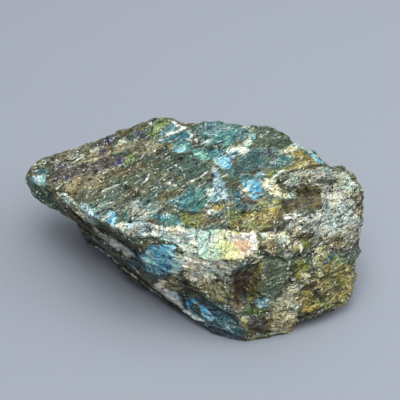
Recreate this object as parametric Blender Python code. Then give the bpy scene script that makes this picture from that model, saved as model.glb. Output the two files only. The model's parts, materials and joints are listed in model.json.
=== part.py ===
"""Rough labradorite chunk: one piece of cleaved feldspar, lying on its flattest break.

Metres, +Z up, +X along the stone towards its blunt end, +Y away from its broad front.
The origin is on the surface the stone rests on, under the middle of its box.

The stone is worked out as a distance from its heart in every direction: a block of flat
breaks stretched between corners, less a few ledges and scoops, roughened by the edges
of the cleavage plates that lie along its bedding.
"""

import bmesh
import bpy
import numpy as np

MM = 0.001

# --- Driving dimensions, in millimetres and degrees ---------------------------------------

CORNERS = {
    # the pointed end, raised off the ground
    "tip": (-60.5, 20, 22),
    "tip_upper": (-60, 21.5, 26),
    "tip_lower": (-58, 17.5, 18.5),
    "tip_back": (-57, 26.5, 26),
    # far rim of the top face, climbing to the crest
    "rim_low": (-48, 30, 28),
    "rim_middle": (-38.5, 35, 31),
    "rim_high": (-23, 38, 34),
    "crest_left": (-11.5, 39.5, 38),
    "crest_middle": (10, 35, 39),
    "crest_right": (34, 28.5, 40),
    # the blunt end
    "slab_back": (54, 9, 37),
    "slab_right": (59, 1, 35),
    "end_middle": (60.5, -3.5, 27),
    "end_low": (59, -11.5, 18),
    "end_foot": (57, -19.5, 7),
    "end_foot_front": (54, -26, 3),
    # near edge of the top face
    "ridge_tip": (-51.5, 9.5, 26),
    "ridge_low": (-37.5, -7, 30),
    "ridge_bend": (-28, -16.5, 32),
    "ridge_left": (-14.5, -20.5, 34.5),
    "ridge_middle": (0, -22.5, 37),
    "ridge_right": (21, -26, 39),
    "ridge_knee": (43, -15, 35.5),
    # the brow, a bevel under that edge
    "brow_left": (-14.5, -24, 30),
    "brow_middle": (0, -30, 27),
    "brow_right": (19.5, -33.5, 30),
    # lower edge of the undercut side, from the tip to the nose
    "keel_tip": (-50.5, 11, 18),
    "keel_high": (-40.5, 2, 14),
    "keel_middle": (-25.5, -11, 7),
    "keel_low": (-11, -22, 2.5),
    "keel_foot": (-0.5, -29.5, 0.5),
    # the sole, set a little low so that the ground cuts it flat
    "nose": (17, -40, -0.8),
    "nose_left": (8.5, -36.5, -0.8),
    "nose_right": (31, -36.5, -0.8),
    "sole_front": (40, -28, -0.8),
    "sole_right": (44, 8, -0.8),
    "sole_back": (22, 28, -0.8),
    "sole_left": (-14, 20, -0.8),
    "sole_keel": (-14, -8, -0.8),
    # the far side
    "back_tip": (-50, 28, 20),
    "back_left": (-30, 34, 14),
    "back_middle": (0, 37, 6),
    "back_right": (30, 33, 5),
    "back_end": (49, 20, 8),
}
HEART = (4, -1, 17)  # every distance is measured from here
REACH = (58, 38, 20)  # half sizes of the stone, which spread the mesh evenly over it
EDGE_SHARPNESS = 90  # power of the soft minimum between two breaks: higher is crisper

# A ledge is what is missing in front of all its faces.
# Each face is a point on it, the compass direction it faces (0 along +X) and its elevation.
LEDGES = {
    "saddle_behind_slab": (((33.5, 25, 39.3), -27, 69.5), ((33, 1, 36), 118, 8)),
    "side_step": (((55.5, -13, 15), -20, -62), ((55.5, -13, 15), -15, 12)),
    "foot_undercut": (((36, -31.5, 3), -60, -75), ((34, -33, 3), -38, 10)),
    "tip_undercut": (((-43, 7, 19), -110, -70), ((-40, 5.5, 15), -160, -5)),
}
# A scoop is the hollow of an ellipsoid.
# Its centre, its half sizes, the compass direction of the first, and the rounding of its lip.
SCOOPS = {
    "crest_notch": ((-1, 38, 43.5), (6, 9, 8), 70, 0.8),
    "keel_hollow": ((-9.5, -34, 31), (15, 8, 10), -35, 1),
    "front_hollow": ((19.5, -41.5, 20), (9.5, 7.5, 12), -70, 0.8),
    "ridge_groove": ((25.5, -37, 44), (6, 9, 12), -75, 1),
    # shallow scars left on the top face by flakes
    "crest_flake": ((-7, 26, 41.5), (7, 10, 4.5), 60, 0.4),
    "broad_flake": ((18, 18, 43.5), (22, 12, 5), -35, 0.4),
    "near_flake": ((-1, -11, 40), (8, 5, 4), 15, 0.4),
    "keel_groove": ((-31, -11.5, 19), (22, 3.5, 2.2), -37, 0.5),
}
TOP, FRONT = "top", "front"
# Pieces that stand out or are sunk: the side they are seen from, how far they stand out
# towards it, and their outline there, (x, y) from the top and (x, z) from the front.
FORMS = {
    "slab": (TOP, 2.2, (
        (30.5, 2.5), (36, 6.5), (42, 8.5), (47, 9.8), (52.5, 9.2), (54.5, 5.5), (57.5, 2),
        (59, -0.5), (54, -1), (48, -1), (38, -1.2), (33, -0.5),
    )),
    "slab_lower_layer": (TOP, 0.9, (
        (32, -2.5), (37.5, -1), (43, -0.5), (54, -0.5), (59, -0.5), (55, -2.4), (45, -2.6),
        (37.5, -3), (32.5, -3.5),
    )),
    "recess_under_slab": (TOP, -3.4, (
        (30.5, -4.5), (34, -3.5), (39, -3), (44.5, -3), (44, -8), (43.5, -11.5), (41, -12.5),
        (37, -13.5), (31.5, -17.5), (30.5, -12.5),
    )),
    "end_shelf": (TOP, -0.9, (
        (45, -3), (53.5, -2.6), (55, -3), (54.5, -6), (49.5, -9), (44.5, -11.5),
    )),
    "crest_plate": (TOP, 0.7, (
        (1, 29.5), (3.5, 35.5), (12.5, 34), (22.5, 31), (21, 23.5), (12.5, 17), (4.5, 19),
        (2, 24.5),
    )),
    "blue_facet": (TOP, 0.5, (
        (-12, 24), (-4, 30.5), (0, 31), (2, 25), (-2.5, 19), (-9, 20.5),
    )),
    "dark_facet": (TOP, -0.8, (
        (13, -0.5), (16.5, 10.5), (25.5, 18.5), (30, 14.5), (25, 6.5), (20.5, 1.5), (15.5, -3),
    )),
    "lens": (TOP, -0.6, (
        (-6, -10), (-2.5, -4.5), (5, -5), (6, -9), (3.5, -13), (-0.5, -16), (-4.5, -14.5),
    )),
    "pale_band": (TOP, 0.5, (
        (6.5, 6.5), (10.5, 6.5), (13, -1), (13, -14), (10.5, -17.5), (7.5, -9),
    )),
    "gold_hollow": (TOP, -1.0, (
        (13.5, -16.5), (24, -17.5), (27.5, -20.5), (25.5, -23.5), (16.5, -25), (12.5, -21.5),
    )),
    "rim_step": (TOP, -0.8, (
        (-47.5, 24), (-39, 29.5), (-29, 32.5), (-20, 32), (-15.5, 26.5), (-23.5, 26),
        (-32.5, 22.5), (-46.5, 20.5),
    )),
    "near_lip": (TOP, 0.5, (
        (-47, 6), (-44.5, 5.5), (-39.5, -1.5), (-33.5, -10), (-26, -16), (-18, -18.5),
        (-13, -20.5), (-13, -21.5), (-21.5, -19), (-31, -13), (-38.5, -3.5), (-45, 4),
    )),
    "upper_groove": (FRONT, -1.3, (
        (-45, 24), (-41, 24.5), (-32, 25), (-22.5, 26.5), (-17, 26), (-20.5, 18.5),
        (-27.5, 19), (-33.5, 22.5), (-41, 23),
    )),
    "strip": (FRONT, 0.6, (
        (-33.5, 24), (-30.5, 24), (-24.5, 22.5), (-18, 23), (-20.5, 17.5), (-27.5, 18),
        (-33.5, 18),
    )),
    "lower_groove": (FRONT, -1.0, (
        (-36, 14.5), (-28.5, 14), (-21, 13.5), (-14, 10.5), (-9.5, 6), (-11, 3.5), (-16.5, 5),
        (-24.5, 9), (-32.5, 10.5), (-36.5, 12.5),
    )),
    "under_ridge": (FRONT, -0.8, (
        (-20.5, 31), (-13, 31.5), (-6.5, 31.5), (-1.5, 31), (-3, 30), (-7.5, 30.5),
        (-13.5, 30.5), (-19.5, 30.5),
    )),
    "white_boulder": (FRONT, 1.2, (
        (24, 35.5), (27, 35.5), (32, 32.5), (34, 28.5), (31, 27), (26.5, 29), (24, 32),
    )),
    "rust_hollow": (FRONT, -1.5, (
        (14, 26), (18.5, 28.5), (22, 29), (22, 23), (20.5, 15.5), (17.5, 13), (14.5, 16),
        (13.5, 21),
    )),
    "glassy_face": (FRONT, -0.7, (
        (24.5, 29.5), (29.5, 28), (34, 26), (34, 20.5), (31.5, 16.5), (27, 15.5), (24, 18),
    )),
    "rib": (FRONT, 1.0, (
        (36.5, 30), (41, 27), (39, 22), (36.5, 18.5), (33, 12.5), (31.5, 4), (26, 4),
        (26.5, 11), (30, 17.5), (34, 22.5),
    )),
    "end_rib": (FRONT, 0.8, (
        (43, 26.5), (46, 26.5), (46, 19.5), (44, 12.5), (41.5, 13), (41.5, 21.5),
    )),
    "gold_face": (FRONT, -0.9, (
        (36.5, 14.5), (42.5, 13.5), (43.5, 6.5), (37, 7.5),
    )),
    "keel_ledge": (FRONT, 0.9, (
        (-12, 10.5), (-7, 19), (-1, 20.5), (5, 17.5), (3.5, 16), (-2, 16.5), (-7, 13),
    )),
    "dark_gap": (FRONT, -1.4, (
        (-3, 14), (-1, 14.5), (-0.5, 9), (-2.5, 7.5),
    )),
}
FORM_WALL = 0.9  # width over which a form stands out or sinks

BEDDING_FACES = (-37, 77)  # compass direction and elevation of the bedding's normal
BEDDING_RUNS = -37.5  # compass direction of the plates' length
# Cleavage plates: (length, width, thickness) of one, and how far their edges stand out.
PLATES = (((15, 11, 4.6), 0.85), ((7.5, 5.5, 2.6), 0.35))
PLATE_CRISPNESS = 20  # higher makes the steps between plates steeper
WANDER = (9, 1.0)  # size and reach of the bends in edges that would otherwise be ruled lines
SWELL = (14, 0.45)  # size and height of the broad unevenness
CALM = {  # smooth faces: centre, radius, and the share of the relief that is left
    "brow": ((11.5, -28.5, 33), 13, 0.25),
    "glassy_face": ((29.5, -33, 22), 8, 0.4),
    "top_face": ((-8, 4, 36), 26, 0.6),
    "sole": ((15, -2, 0), 34, 0),
}

GRID = 96  # squares along one side of the cube that the mesh is projected from
WORN = 0.5  # how far each point moves to the middle of its neighbours, as weathering does
KEPT_SHARE = 0.083  # share of the triangles that the solid keeps

STONE_COLOUR = (0.16, 0.19, 0.15, 1)
STONE_ROUGHNESS = 0.42


# --- Helpers: directions and repeatable noise ---------------------------------------------


def facing(compass, elevation):
    """Unit vector towards a compass direction (0 along +X, 90 along +Y) and an elevation."""
    turn, rise = np.radians(compass), np.radians(elevation)
    return np.array([np.cos(rise) * np.cos(turn), np.cos(rise) * np.sin(turn), np.sin(rise)])


def scatter(cell, salt):
    """A repeatable number from 0 to 1 for each whole-numbered cell of space."""
    mixed = cell[..., 0] * 73856093 ^ cell[..., 1] * 19349663 ^ cell[..., 2] * 83492791
    mixed = mixed ^ salt * 2654435761
    for factor in (1274126177, 2246822519):
        mixed = (mixed ^ mixed >> 15) * factor & 0xFFFFFFFF
    return (mixed >> 8 & 0xFFFF) / 0xFFFF


def noise(points, salt, octaves=3):
    """Smooth noise, about -1 to 1: cell corners' numbers blended, then halved and doubled in pitch."""
    total, height = 0, 1
    for octave in range(octaves):
        place = points * 2.03**octave + 7.3 * octave
        cell = np.floor(place).astype(np.int64)
        part = place - cell
        part = part * part * (3 - 2 * part)
        for corner in np.ndindex(2, 2, 2):
            share = np.where(corner, part, 1 - part).prod(-1)
            total = total + height * share * (2 * scatter(cell + corner, salt + octave) - 1)
        height /= 2
    return total


def flat_chips(points, salt):
    """Flat tilted chips, about -1 to 1.

    Each point takes the planes of the seeds scattered round it, and the nearest seed
    outweighs the rest but for a narrow bevel half way to the next one.
    """
    home = np.floor(points).astype(np.int64)
    height = weight = 0
    for step in np.ndindex(3, 3, 3):
        cell = home + step - 1
        jitter = np.stack([scatter(cell, salt + k) for k in (1, 2, 3)], -1)
        tilt = np.stack([2 * scatter(cell, salt + k) - 1 for k in (5, 6, 7)], -1)
        offset = points - cell - jitter
        share = np.exp(-PLATE_CRISPNESS * (offset**2).sum(-1)) + 1e-30
        plane = 2 * scatter(cell, salt + 4) - 1 + 0.8 * (tilt * offset).sum(-1)
        height = height + share * plane
        weight = weight + share
    return height / weight


# --- The stone as a distance from its heart -----------------------------------------------


def breaks():
    """Normals of the flat breaks between the corners, and their distances from the heart."""
    hull = bmesh.new()
    for corner in CORNERS.values():
        hull.verts.new(corner)
    bmesh.ops.convex_hull(hull, input=hull.verts)
    hull.normal_update()
    faces = [face for face in hull.faces if face.calc_area() > 0.01]
    normals = np.array([face.normal for face in faces])
    points = np.array([face.verts[0].co for face in faces])
    hull.free()
    return normals, (normals * (points - HEART)).sum(1)


def block_distance(ways):
    """Distance to the block along each way, a soft minimum over its breaks, and the face's normal."""
    normals, distances = breaks()
    nearness = np.clip(ways @ normals.T / distances, 1e-6, None)
    closest = nearness.max(1, keepdims=True)
    weights = (nearness / closest) ** EDGE_SHARPNESS
    reach = 1 / (closest[:, 0] * weights.sum(1) ** (1 / EDGE_SHARPNESS))
    normal = weights @ normals
    return reach, normal / np.linalg.norm(normal, axis=1, keepdims=True)


def cut_ledge(reach, ways, faces):
    """The distance after a ledge: where a way enters the space in front of all its faces."""
    enters, leaves = np.zeros(len(ways)), np.full(len(ways), np.inf)
    for point, compass, elevation in faces:
        normal = facing(compass, elevation)
        lean = ways @ normal
        meets = (normal @ np.subtract(point, HEART)) / np.where(lean == 0, 1e-9, lean)
        enters = np.where(lean > 0, np.maximum(enters, meets), enters)
        leaves = np.where(lean <= 0, np.minimum(leaves, meets), leaves)
    return np.where((enters > 0) & (enters < leaves), np.minimum(reach, enters), reach)


def cut_scoop(reach, ways, centre, half_sizes, compass, lip):
    """The distance after a scoop: where a way enters its ellipsoid, rounded at the lip."""
    frame = np.stack([facing(compass, 0), facing(compass + 90, 0), facing(0, 90)])
    frame = frame / np.array(half_sizes)[:, None]
    middle, rays = frame @ np.subtract(centre, HEART), ways @ frame.T
    squares, along = (rays**2).sum(1), rays @ middle
    room = along**2 - squares * (middle @ middle - 1)
    enters = (along - np.sqrt(np.maximum(room, 0))) / squares
    blend = np.clip(0.5 + 0.5 * (enters - reach) / lip, 0, 1)
    rounded = enters + (reach - enters) * blend - lip * blend * (1 - blend)
    return np.where((room > 0) & (enters > 0), np.minimum(rounded, reach), reach)


def calmness(points):
    """Share of the relief at each point: less on the smooth faces."""
    share = np.ones(len(points))
    for centre, radius, left in CALM.values():
        gap = ((points - centre) ** 2).sum(1) / radius**2
        share *= 1 - (1 - left) * np.exp(-gap)
    return share


def relief(points):
    """Height of the plates' edges and the broad swell, with the bedding's own axes as the grid."""
    up = facing(*BEDDING_FACES)
    run = facing(BEDDING_RUNS, 0)
    run = run - up * (run @ up)
    bedding = np.stack([run / np.linalg.norm(run), np.cross(up, run), up])
    size, height = SWELL
    total = height * noise(points / size, 80)
    for layer, (plate, edge) in enumerate(PLATES):
        total += edge * flat_chips(points @ bedding.T / plate + 3.7 * layer, 40 + 20 * layer)
    return total


def stone_surface(directions):
    """Points of the stone's skin for unit directions: block, ledges, scoops, then relief along the normal."""
    ways = directions * REACH
    ways /= np.linalg.norm(ways, axis=1, keepdims=True)
    reach, normal = block_distance(ways)
    skin = HEART + ways * reach[:, None]
    size, bend = WANDER
    drift = bend * np.stack([noise(skin / size, 11 + 10 * axis) for axis in range(3)], -1)
    bent = skin + drift - HEART
    bent /= np.linalg.norm(bent, axis=1, keepdims=True)
    for faces in LEDGES.values():
        reach = cut_ledge(reach, bent, faces)
    for scoop in SCOOPS.values():
        reach = cut_scoop(reach, bent, *scoop)
    skin = HEART + ways * reach[:, None]
    height = relief(skin + 0.6 * drift) * calmness(skin)
    reach += height / np.clip((normal * ways).sum(1), 0.5, 1)
    ground = HEART[2] / np.maximum(-ways[:, 2], 1e-6)
    return HEART + ways * np.minimum(reach, ground)[:, None]


def depth_inside(outline, spots):
    """How deep each spot lies inside the outline: its distance to the nearest side, negative outside.

    A spot is inside where a level line to its right crosses the sides an odd number of times.
    """
    starts = np.array(outline, float)
    nearest = np.full(len(spots), np.inf)
    inside = np.zeros(len(spots), bool)
    for a, b in zip(starts, np.roll(starts, -1, 0)):
        side = b - a
        along = np.clip((spots - a) @ side / (side @ side), 0, 1)
        nearest = np.minimum(nearest, np.linalg.norm(spots - a - along[:, None] * side, axis=1))
        if a[1] != b[1]:
            crosses = (a[1] > spots[:, 1]) != (b[1] > spots[:, 1])
            inside ^= crosses & (spots[:, 0] < a[0] + side[0] * (spots[:, 1] - a[1]) / side[1])
    return np.where(inside, nearest, -nearest)


def with_forms(points, normals):
    """The points with each form raised or sunk along the way it is seen from, where they face it."""
    size, bend = WANDER
    drift = bend * np.stack([noise(points / size * 2, 211 + 10 * axis) for axis in range(3)], -1)
    spots = points + drift
    moved = points.copy()
    for view, height, outline in FORMS.values():
        seen = spots[:, [0, 1]] if view == TOP else spots[:, [0, 2]]
        faces = normals[:, 2] if view == TOP else -normals[:, 1]
        share = np.clip(0.5 + depth_inside(outline, seen) / FORM_WALL, 0, 1)
        share *= np.clip(faces * 4 - 0.4, 0, 1)
        if view == TOP:
            moved[:, 2] += height * share
        else:
            moved[:, 1] -= height * share
    return moved


# --- Building the solid -------------------------------------------------------------------


def stone_material():
    """Grey-green feldspar with a dull glassy lustre."""
    material = bpy.data.materials.new("labradorite")
    material.use_nodes = True
    shader = material.node_tree.nodes["Principled BSDF"]
    shader.inputs["Base Color"].default_value = STONE_COLOUR
    shader.inputs["Roughness"].default_value = STONE_ROUGHNESS
    shader.inputs["Metallic"].default_value = 0
    material.diffuse_color = STONE_COLOUR
    return material


def stone_mesh():
    """A gridded cube with its points moved out to the stone's skin."""
    grid = bmesh.new()
    bmesh.ops.create_cube(grid, size=2)
    bmesh.ops.subdivide_edges(grid, edges=grid.edges, cuts=GRID - 1, use_grid_fill=True)
    bmesh.ops.triangulate(grid, faces=grid.faces)
    mesh = bpy.data.meshes.new("gridded_stone")
    grid.to_mesh(mesh)
    grid.free()
    directions = np.tan(points_of(mesh) * np.pi / 4)
    directions /= np.linalg.norm(directions, axis=1, keepdims=True)
    skin = stone_surface(directions)
    move_points(mesh, skin * MM)
    move_points(mesh, with_forms(skin, normals_of(mesh)) * MM)
    return mesh


def normals_of(mesh):
    """The mesh's point normals as rows."""
    normals = np.empty(len(mesh.vertices) * 3, np.float32)
    mesh.vertices.foreach_get("normal", normals)
    return normals.reshape(-1, 3).astype(float)


def points_of(mesh):
    """The mesh's points as rows."""
    points = np.empty(len(mesh.vertices) * 3, np.float32)
    mesh.vertices.foreach_get("co", points)
    return points.reshape(-1, 3).astype(float)


def move_points(mesh, points):
    """Puts the mesh's points at these rows."""
    mesh.vertices.foreach_set("co", points.astype(np.float32).ravel())
    mesh.update()


def thinned(mesh):
    """The mesh worn a little, with few triangles left where it is flat."""
    helper = bpy.data.objects.new("thinning", mesh)
    bpy.context.scene.collection.objects.link(helper)
    wear = helper.modifiers.new("wear", "SMOOTH")
    wear.factor = WORN
    wear.iterations = 1
    thinning = helper.modifiers.new("thin_flat_faces", "DECIMATE")
    thinning.ratio = KEPT_SHARE
    result = bpy.data.meshes.new_from_object(
        helper.evaluated_get(bpy.context.evaluated_depsgraph_get())
    )
    bpy.data.objects.remove(helper)
    return result


def build_stone():
    """The chunk as one node, its sole on the ground and the middle of its box over the origin."""
    mesh = thinned(stone_mesh())
    points = points_of(mesh)
    points[:, :2] -= (points.max(0) + points.min(0))[:2] / 2
    points[:, 2] = np.maximum(points[:, 2], 0)
    move_points(mesh, points)
    mesh.materials.clear()
    mesh.materials.append(stone_material())
    stone = bpy.data.objects.new("labradorite_chunk", mesh)
    bpy.context.scene.collection.objects.link(stone)


for leftover in list(bpy.data.objects):
    bpy.data.objects.remove(leftover)
build_stone()
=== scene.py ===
"""Rough labradorite chunk: the stone's broken skin, the minerals in it and the light on it."""

import json
from functools import partial, reduce

import bpy
import numpy as np
from mathutils import Euler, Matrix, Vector

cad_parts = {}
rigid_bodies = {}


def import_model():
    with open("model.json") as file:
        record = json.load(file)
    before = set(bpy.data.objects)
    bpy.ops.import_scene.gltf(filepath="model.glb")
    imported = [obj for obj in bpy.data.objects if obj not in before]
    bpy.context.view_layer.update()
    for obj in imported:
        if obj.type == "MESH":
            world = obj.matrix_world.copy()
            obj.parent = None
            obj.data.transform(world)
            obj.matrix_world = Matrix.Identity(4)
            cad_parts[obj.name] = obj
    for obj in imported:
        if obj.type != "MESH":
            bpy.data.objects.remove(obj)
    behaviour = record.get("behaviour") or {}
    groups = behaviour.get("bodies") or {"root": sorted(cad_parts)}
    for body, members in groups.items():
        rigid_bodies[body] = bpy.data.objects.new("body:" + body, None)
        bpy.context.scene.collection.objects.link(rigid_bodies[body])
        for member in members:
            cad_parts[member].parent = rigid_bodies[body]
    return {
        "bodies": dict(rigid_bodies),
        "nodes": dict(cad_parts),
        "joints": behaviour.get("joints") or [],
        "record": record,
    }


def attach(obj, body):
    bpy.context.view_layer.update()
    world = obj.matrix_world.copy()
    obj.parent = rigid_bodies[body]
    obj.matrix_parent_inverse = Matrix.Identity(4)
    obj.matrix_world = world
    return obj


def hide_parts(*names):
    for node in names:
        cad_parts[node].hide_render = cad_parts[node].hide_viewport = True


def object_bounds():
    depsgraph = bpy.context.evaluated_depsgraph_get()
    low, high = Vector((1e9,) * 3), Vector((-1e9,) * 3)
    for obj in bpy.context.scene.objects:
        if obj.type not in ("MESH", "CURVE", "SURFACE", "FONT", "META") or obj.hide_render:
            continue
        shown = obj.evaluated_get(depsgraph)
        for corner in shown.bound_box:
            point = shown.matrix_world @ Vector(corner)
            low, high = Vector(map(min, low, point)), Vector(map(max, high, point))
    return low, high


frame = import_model()
cad_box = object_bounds()

# === The chunk's broken skin ==============================================================
# One lump of labradorite feldspar, split from its bed by hand. It is a block of flat
# breaks between corners, with ledges and scoops where flakes came away, and its skin is
# stepped by the cleavage plates that lie along the bedding. Nothing is fixed to it.

CORNERS = {  # millimetres, before the stone is put over the origin
    # the pointed end, raised off the ground
    "tip": (-60.5, 20, 22),
    "tip_upper": (-60, 21.5, 26),
    "tip_lower": (-58, 17.5, 18.5),
    "tip_back": (-57, 26.5, 26),
    # far rim of the top face, climbing to the crest
    "rim_low": (-48, 30, 28),
    "rim_middle": (-38.5, 35, 31),
    "rim_high": (-23, 38, 34),
    "crest_left": (-11.5, 39.5, 38),
    "crest_middle": (10, 35, 39),
    "crest_right": (34, 28.5, 40),
    # the blunt end
    "slab_back": (54, 9, 37),
    "slab_right": (59, 1, 35),
    "end_middle": (60.5, -3.5, 27),
    "end_low": (59, -11.5, 18),
    "end_foot": (57, -19.5, 7),
    "end_foot_front": (54, -26, 3),
    # near edge of the top face
    "ridge_tip": (-51.5, 9.5, 26),
    "ridge_low": (-37.5, -7, 30),
    "ridge_bend": (-28, -16.5, 32),
    "ridge_left": (-14.5, -20.5, 34.5),
    "ridge_middle": (0, -22.5, 37),
    "ridge_right": (21, -26, 39),
    "ridge_knee": (43, -15, 35.5),
    # the brow, a bevel under that edge
    "brow_left": (-14.5, -24, 30),
    "brow_middle": (0, -30, 27),
    "brow_right": (19.5, -33.5, 30),
    # lower edge of the undercut side, from the tip to the nose
    "keel_tip": (-50.5, 11, 18),
    "keel_high": (-40.5, 2, 14),
    "keel_middle": (-25.5, -11, 7),
    "keel_low": (-11, -22, 2.5),
    "keel_foot": (-0.5, -29.5, 0.5),
    # the sole, set a little low so that the ground cuts it flat
    "nose": (17, -40, -0.8),
    "nose_left": (8.5, -36.5, -0.8),
    "nose_right": (31, -36.5, -0.8),
    "sole_front": (40, -28, -0.8),
    "sole_right": (44, 8, -0.8),
    "sole_back": (22, 28, -0.8),
    "sole_left": (-14, 20, -0.8),
    "sole_keel": (-14, -8, -0.8),
    # the far side
    "back_tip": (-50, 28, 20),
    "back_left": (-30, 34, 14),
    "back_middle": (0, 37, 6),
    "back_right": (30, 33, 5),
    "back_end": (49, 20, 8),
}
HEART = (4, -1, 17)  # every distance is measured from here
REACH = (58, 38, 20)  # half sizes of the stone, which spread the mesh evenly over it
EDGE_SHARPNESS = 90  # power of the soft minimum between two breaks: higher is crisper
# A ledge is what is missing in front of all its faces.
# Each face is a point on it, the compass direction it faces (0 along +X) and its elevation.
LEDGES = {
    "saddle_behind_slab": (((33.5, 25, 39.3), -27, 69.5), ((33, 1, 36), 118, 8)),
    "side_step": (((55.5, -13, 15), -20, -62), ((55.5, -13, 15), -15, 12)),
    "foot_undercut": (((36, -31.5, 3), -60, -75), ((34, -33, 3), -38, 10)),
    "tip_undercut": (((-43, 7, 19), -110, -70), ((-40, 5.5, 15), -160, -5)),
}
# A scoop is the hollow of an ellipsoid.
# Its centre, its half sizes, the compass direction of the first, and the rounding of its lip.
SCOOPS = {
    "crest_notch": ((-1, 38, 43.5), (6, 9, 8), 70, 0.8),
    "keel_hollow": ((-9.5, -34, 31), (15, 8, 10), -35, 1),
    "front_hollow": ((19.5, -41.5, 20), (9.5, 7.5, 12), -70, 0.8),
    "ridge_groove": ((25.5, -37, 44), (6, 9, 12), -75, 1),
    # shallow scars left on the top face by flakes
    "crest_flake": ((-7, 26, 41.5), (7, 10, 4.5), 60, 0.4),
    "broad_flake": ((18, 18, 43.5), (22, 12, 5), -35, 0.4),
    "near_flake": ((-1, -11, 40), (8, 5, 4), 15, 0.4),
    "keel_groove": ((-31, -11.5, 19), (22, 3.5, 2.2), -37, 0.5),
}
TOP, FRONT = "top", "front"
# Pieces that stand out or are sunk: the side they are seen from, how far they stand out
# towards it, then their outline there, (x, y) from the top and (x, z) from the front.
FORMS = {
    "slab": (TOP, 2.2, (30.5, 2.5), (36, 6.5), (42, 8.5), (47, 9.8), (52.5, 9.2), (54.5, 5.5),
        (57.5, 2), (59, -0.5), (54, -1), (48, -1), (38, -1.2), (33, -0.5)),
    "slab_lower_layer": (TOP, 0.9, (32, -2.5), (37.5, -1), (43, -0.5), (54, -0.5), (59, -0.5),
        (55, -2.4), (45, -2.6), (37.5, -3), (32.5, -3.5)),
    "recess_under_slab": (TOP, -3.4, (30.5, -4.5), (34, -3.5), (39, -3), (44.5, -3), (44, -8),
        (43.5, -11.5), (41, -12.5), (37, -13.5), (31.5, -17.5), (30.5, -12.5)),
    "end_shelf": (TOP, -0.9, (45, -3), (53.5, -2.6), (55, -3), (54.5, -6), (49.5, -9),
        (44.5, -11.5)),
    "crest_plate": (TOP, 0.7, (1, 29.5), (3.5, 35.5), (12.5, 34), (22.5, 31), (21, 23.5),
        (12.5, 17), (4.5, 19), (2, 24.5)),
    "blue_facet": (TOP, 0.5, (-12, 24), (-4, 30.5), (0, 31), (2, 25), (-2.5, 19), (-9, 20.5)),
    "dark_facet": (TOP, -0.8, (13, -0.5), (16.5, 10.5), (25.5, 18.5), (30, 14.5), (25, 6.5),
        (20.5, 1.5), (15.5, -3)),
    "lens": (TOP, -0.6, (-6, -10), (-2.5, -4.5), (5, -5), (6, -9), (3.5, -13), (-0.5, -16),
        (-4.5, -14.5)),
    "pale_band": (TOP, 0.5, (6.5, 6.5), (10.5, 6.5), (13, -1), (13, -14), (10.5, -17.5),
        (7.5, -9)),
    "gold_hollow": (TOP, -1.0, (13.5, -16.5), (24, -17.5), (27.5, -20.5), (25.5, -23.5),
        (16.5, -25), (12.5, -21.5)),
    "rim_step": (TOP, -0.8, (-47.5, 24), (-39, 29.5), (-29, 32.5), (-20, 32), (-15.5, 26.5),
        (-23.5, 26), (-32.5, 22.5), (-46.5, 20.5)),
    "near_lip": (TOP, 0.5, (-47, 6), (-44.5, 5.5), (-39.5, -1.5), (-33.5, -10), (-26, -16),
        (-18, -18.5), (-13, -20.5), (-13, -21.5), (-21.5, -19), (-31, -13), (-38.5, -3.5),
        (-45, 4)),
    "upper_groove": (FRONT, -1.3, (-45, 24), (-41, 24.5), (-32, 25), (-22.5, 26.5), (-17, 26),
        (-20.5, 18.5), (-27.5, 19), (-33.5, 22.5), (-41, 23)),
    "strip": (FRONT, 0.6, (-33.5, 24), (-30.5, 24), (-24.5, 22.5), (-18, 23), (-20.5, 17.5),
        (-27.5, 18), (-33.5, 18)),
    "lower_groove": (FRONT, -1.0, (-36, 14.5), (-28.5, 14), (-21, 13.5), (-14, 10.5), (-9.5, 6),
        (-11, 3.5), (-16.5, 5), (-24.5, 9), (-32.5, 10.5), (-36.5, 12.5)),
    "under_ridge": (FRONT, -0.8, (-20.5, 31), (-13, 31.5), (-6.5, 31.5), (-1.5, 31), (-3, 30),
        (-7.5, 30.5), (-13.5, 30.5), (-19.5, 30.5)),
    "white_boulder": (FRONT, 1.2, (24, 35.5), (27, 35.5), (32, 32.5), (34, 28.5), (31, 27),
        (26.5, 29), (24, 32)),
    "rust_hollow": (FRONT, -1.5, (14, 26), (18.5, 28.5), (22, 29), (22, 23), (20.5, 15.5),
        (17.5, 13), (14.5, 16), (13.5, 21)),
    "glassy_face": (FRONT, -0.7, (24.5, 29.5), (29.5, 28), (34, 26), (34, 20.5), (31.5, 16.5),
        (27, 15.5), (24, 18)),
    "rib": (FRONT, 1.0, (36.5, 30), (41, 27), (39, 22), (36.5, 18.5), (33, 12.5), (31.5, 4),
        (26, 4), (26.5, 11), (30, 17.5), (34, 22.5)),
    "end_rib": (FRONT, 0.8, (43, 26.5), (46, 26.5), (46, 19.5), (44, 12.5), (41.5, 13),
        (41.5, 21.5)),
    "gold_face": (FRONT, -0.9, (36.5, 14.5), (42.5, 13.5), (43.5, 6.5), (37, 7.5)),
    "keel_ledge": (FRONT, 0.9, (-12, 10.5), (-7, 19), (-1, 20.5), (5, 17.5), (3.5, 16), (-2, 16.5),
        (-7, 13)),
    "dark_gap": (FRONT, -1.4, (-3, 14), (-1, 14.5), (-0.5, 9), (-2.5, 7.5)),
}
FORM_WALL = 0.9  # width over which a form stands out or sinks
BEDDING_FACES = (-37, 77)  # compass direction and elevation of the bedding's normal
BEDDING_RUNS = -37.5  # compass direction of the plates' length
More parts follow.
